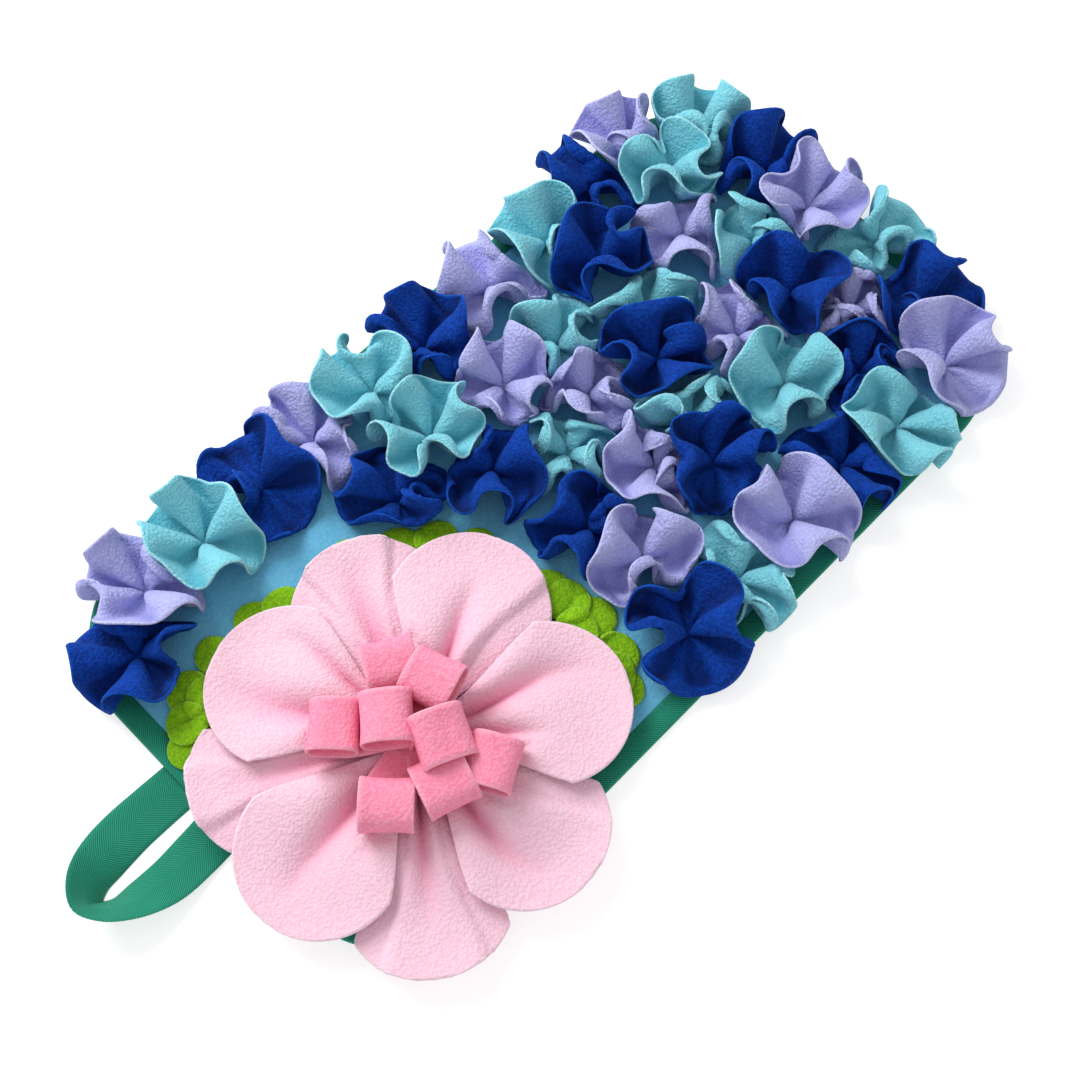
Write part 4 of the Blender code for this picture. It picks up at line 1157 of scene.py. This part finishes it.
class Tree:
    # one Geometry Nodes tree: named number inputs, and one way to add a node
    def __init__(self, name, **numbers):
        self.tree = bpy.data.node_groups.new(name, "GeometryNodeTree")
        for way in ("INPUT", "OUTPUT"):
            self.socket("Geometry", way, "NodeSocketGeometry")
        self.names = {}
        for key, value in numbers.items():
            item = self.socket(key, "INPUT", "NodeSocketFloat")
            item.default_value = value
            self.names[key] = item.identifier
        self.entry = self.tree.nodes.new("NodeGroupInput")
        self.exit = self.tree.nodes.new("NodeGroupOutput")

    def socket(self, name, way, kind):
        return self.tree.interface.new_socket(name, in_out=way, socket_type=kind)

    def value(self, name):
        return self.entry.outputs[name]

    def node(self, kind, settings, values, output=0):
        return addNode(self.tree, kind, settings, values).outputs[output]

    def close(self, geometry, material):
        real = self.node("GeometryNodeRealizeInstances", {}, {"Geometry": geometry})
        dressed = self.node(
            "GeometryNodeSetMaterial", {}, {"Geometry": real, "Material": material})
        self.tree.links.new(dressed, self.exit.inputs["Geometry"])

    def applied(self, piece, **numbers):
        # runs the tree on a piece and keeps the result as a plain mesh
        grown = piece.modifiers.new(self.tree.name, "NODES")
        grown.node_group = self.tree
        for key, value in numbers.items():
            grown[self.names[key]] = value
        bpy.context.view_layer.update()
        graph = bpy.context.evaluated_depsgraph_get()
        result = bpy.data.meshes.new_from_object(
            piece.evaluated_get(graph), preserve_all_data_layers=True, depsgraph=graph)
        piece.modifiers.clear()
        old = piece.data
        piece.data = result
        bpy.data.meshes.remove(old)
        result.name = piece.name


def lineObject(name, points, **values):
    # a closed line of points, for a tree to work on
    edges = [(k, (k + 1) % len(points)) for k in range(len(points))]
    return addPiece(name, points, edges, [], **values)


# the tape: shown is how far it reaches over the mat, on each side
tape = {
    "width": 35.0, "thick": 1.1, "shown": 17.0, "pathStep": 3.0, "foldSteps": 10, "loose": 0.1,
    "selvage": 0.35,
}


def bindingSection():
    # the tape's section, folded in half round the mat's edge: x inwards, y upwards, and the
    # place across the tape in millimetres at each point
    thick, high, shown = tape["thick"], mat["thick"] + tape["loose"], tape["shown"]
    outer, inner = high / 2.0, high / 2.0 - thick
    turns = [math.pi / 2.0 + math.pi * k / tape["foldSteps"] for k in range(tape["foldSteps"] + 1)]
    skin = [(shown, high)] + [
        (outer + outer * math.cos(a), outer + outer * math.sin(a)) for a in turns] + [(shown, 0.0)]
    lining = [(outer + inner * math.cos(a), outer + inner * math.sin(a)) for a in turns]
    lining = [(shown, high - thick)] + lining + [(shown, thick)]
    run = lengthsAlong(np.array(skin))
    run *= tape["width"] / run[-1]
    selvage = [(shown + tape["selvage"], y) for y in (thick / 2.0, high - thick / 2.0)]
    points = skin + selvage[:1] + lining[::-1] + selvage[1:]
    across = list(run) + [run[-1]] + list(run[::-1]) + [run[0]]
    return [(-x, -y, 0.0) for x, y in points[::-1]], across[::-1]


def makeBinding():
    sweep = Tree("sweepRoundMat", Width=0.37, Length=0.68, Corner=0.092, Step=0.003)
    path = sweep.node("GeometryNodeCurvePrimitiveQuadrilateral", {"mode": "RECTANGLE"}, {
        "Width": sweep.value("Width"), "Height": sweep.value("Length")})
    path = sweep.node("GeometryNodeFilletCurve", {"mode": "POLY"}, {
        "Curve": path, "Radius": sweep.value("Corner"), "Count": 40})
    path = sweep.node("GeometryNodeResampleCurve", {"mode": "LENGTH"}, {
        "Curve": path, "Length": sweep.value("Step")})
    run = sweep.node("GeometryNodeSplineParameter", {}, {}, "Length")
    inMillimetres = sweep.node("ShaderNodeMath", {"operation": "MULTIPLY"}, {0: run, 1: 1000.0})
    path = sweep.node(
        "GeometryNodeStoreNamedAttribute", {"data_type": "FLOAT", "domain": "POINT"},
        {"Geometry": path, "Name": "along", "Value": inMillimetres})
    section = sweep.node("GeometryNodeMeshToCurve", {}, {"Mesh": sweep.value("Geometry")})
    swept = sweep.node("GeometryNodeCurveToMesh", {}, {"Curve": path, "Profile Curve": section})
    smooth = sweep.node("GeometryNodeSetShadeSmooth", {}, {"Geometry": swept})
    sweep.close(smooth, finishes["tape"])
    section, across = bindingSection()
    piece = lineObject("binding_tape", section, across=across)
    sweep.applied(piece, Width=mat["width"] * mm, Length=mat["length"] * mm,
                  Corner=mat["corner"] * mm, Step=tape["pathStep"] * mm)
    seat(piece, "edge_binding")
    print("binding swept:", len(piece.data.vertices), "points")


sewing = {
    "pitch": 3.4, "long": 2.7, "thick": 0.55, "inset": 14.6, "sides": 6, "rings": 4,
    "above": 0.12,
}


def makeStitches():
    stitch = Tree("rowOfStitches", Pitch=0.0034, Long=0.0027, Thick=0.00055)
    path = stitch.node("GeometryNodeMeshToCurve", {}, {"Mesh": stitch.value("Geometry")})
    path = stitch.node("GeometryNodeResampleCurve", {"mode": "LENGTH"}, {
        "Curve": path, "Length": stitch.value("Pitch")})
    bead = stitch.node("GeometryNodeMeshUVSphere", {}, {
        "Segments": sewing["sides"], "Rings": sewing["rings"], "Radius": 0.5})
    size = stitch.node("ShaderNodeCombineXYZ", {}, {
        "X": stitch.value("Thick"), "Y": stitch.value("Thick"), "Z": stitch.value("Long")})
    way = stitch.node("GeometryNodeInputTangent", {}, {})
    turn = stitch.node("FunctionNodeAlignEulerToVector", {"axis": "Z"}, {"Vector": way})
    laid = stitch.node("GeometryNodeInstanceOnPoints", {}, {
        "Points": path, "Instance": bead, "Rotation": turn, "Scale": size})
    stitch.close(laid, finishes["thread"])
    high = mat["thick"] + tape["loose"] + sewing["above"]
    outline = roundedOutline(sewing["inset"], (4, 8), 24)
    piece = lineObject("binding_stitches", [(x, y, high) for x, y in outline])
    stitch.applied(piece, Pitch=sewing["pitch"] * mm, Long=sewing["long"] * mm,
                   Thick=sewing["thick"] * mm)
    seat(piece, "edge_binding")
    print("stitches sewn:", len(piece.data.polygons), "faces")


# the hanging loop: the tape's middle in plan, and its bank where it turns back
Station = namedtuple("Station", "x y bank")
loopStations = (
    Station(-27.5, -340.05, 0), Station(-28, -364, 3), Station(-27.5, -388, 10),
    Station(-23.5, -410, 28), Station(-16, -427, 52), Station(-4, -436, 66),
    Station(8, -427, 56), Station(14.5, -410, 34), Station(18, -388, 14),
    Station(17, -364, 4), Station(15, -340.05, 0),
)
loopTape = {"steps": 9, "columns": 10, "edgeThin": 0.75, "bow": 0.5}


def smoothRun(rows, perSpan):
    rows = np.array(rows, dtype=float)
    ends = np.vstack((2 * rows[0] - rows[1], rows, 2 * rows[-1] - rows[-2]))
    points = []
    for k in range(len(rows) - 1):
        a, b, c, d = ends[k:k + 4]
        for t in np.arange(perSpan) / perSpan:
            points.append(0.5 * (2 * b + (c - a) * t + (2 * a - 5 * b + 4 * c - d) * t * t
                                 + (3 * b - a - 3 * c + d) * t ** 3))
    points.append(rows[-1])
    return np.array(points)


def makeHangingLoop():
    run = smoothRun(loopStations, loopTape["steps"])
    way = np.gradient(run[:, :2], axis=0)
    way /= np.linalg.norm(way, axis=1)[:, None]
    way[[0, -1]] = (0.0, -1.0), (0.0, 1.0)
    bank = np.radians(np.maximum(run[:, 2], 0.0))
    outer = np.stack((way[:, 1] * np.cos(bank), -way[:, 0] * np.cos(bank), np.sin(bank)), 1)
    up = np.stack((-way[:, 1] * np.sin(bank), way[:, 0] * np.sin(bank), np.cos(bank)), 1)
    lift = tape["width"] / 2.0 * np.sin(bank) + tape["thick"] / 2.0 * np.cos(bank)
    spine = np.stack((run[:, 0], run[:, 1], lift), 1)
    across = np.linspace(-1.0, 1.0, loopTape["columns"] + 1)
    middle = spine[:, None, :] + outer[:, None, :] * (across * tape["width"] / 2.0)[None, :, None]
    bow = loopTape["bow"] * (1.0 - across ** 2)[None, :] * np.sin(bank)[:, None]
    middle = middle + up[:, None, :] * bow[..., None]
    half = np.full(middle.shape[:2], tape["thick"] / 2.0)
    half[:, [0, -1]] *= loopTape["edgeThin"]
    if np.cross(middle[1, 0] - middle[0, 0], middle[0, 1] - middle[0, 0])[2] < 0.0:
        middle = middle[:, ::-1]
    piece = sheetMesh("loop_tape", middle, half, False, "tape")
    # the place along and across the tape, for the weave: the cut edge takes that of the nearest
    # point of the grid
    length = lengthsAlong(spine)
    total = len(piece.data.vertices)
    points = np.empty(total * 3)
    piece.data.vertices.foreach_get("co", points)
    points = points.reshape(-1, 3) / mm
    grid = middle.reshape(-1, 3)
    nearest = [int(np.argmin(((grid - p) ** 2).sum(1))) for p in points[2 * len(grid):]]
    order = list(range(len(grid))) * 2 + nearest
    keepNumbers(
        piece.data, along=np.repeat(length, len(across))[order],
        across=np.tile((across + 1.0) * tape["width"] / 2.0, len(run))[order])
    seat(piece, "hanging_loop")
    print("hanging loop:", round(float(length[-1]), 1), "mm of tape")


makeBase()
makeBinding()
makeStitches()
makeHangingLoop()
makeDiscs()
makePetals()
makeLeaves()
makeKnot()
makeCentre()


# floor, backdrop and light
studio = {
    "floor": 0.58, "floorSpeck": 0.6, "floorGlow": 0.6, "floorSize": 24000.0, "sky": 0.66,
    "key": 31.0, "keySize": 1.1, "keyPlace": (-1.4, -0.05, 1.15), "keyAim": (0.0, -0.05, 0.0),
}


def makeStudio():
    scene = bpy.context.scene
    finish = Finish("floor", **{
        "Roughness": 0.9, "Specular IOR Level": 0.0, "Emission Color": tone(1.0, 1.0, 1.0),
        "Emission Strength": studio["floorGlow"]})
    speck = finish.noise(finish.place(), 40.0, 2.0)
    grey, speckGrey = (tone(*[studio[key]] * 3) for key in ("floor", "floorSpeck"))
    finish.link(finish.blend(speck, grey, speckGrey), "Base Color")
    corners = np.array(((-1, -1, 0), (1, -1, 0), (1, 1, 0), (-1, 1, 0)))
    floor = addPiece("floor", corners * studio["floorSize"] / 2.0, [], [(0, 1, 2, 3)])
    floor.data.materials.append(finish.material)
    scene.world = bpy.data.worlds.new("studio")
    scene.world.use_nodes = True
    backdrop = scene.world.node_tree.nodes["Background"].inputs
    backdrop["Color"].default_value = tone(1.0, 1.0, 1.0)
    backdrop["Strength"].default_value = studio["sky"]
    lamp = bpy.data.lights.new("key", "AREA")
    lamp.energy = studio["key"]
    lamp.size = studio["keySize"]
    key = bpy.data.objects.new("key", lamp)
    key.location = studio["keyPlace"]
    aim = Vector(studio["keyAim"]) - Vector(studio["keyPlace"])
    key.rotation_euler = aim.to_track_quat("-Z", "Y").to_euler()
    scene.collection.objects.link(key)
    scene.view_settings.view_transform = "Standard"
    scene.view_settings.look = "None"


makeStudio()
print("studio lit")
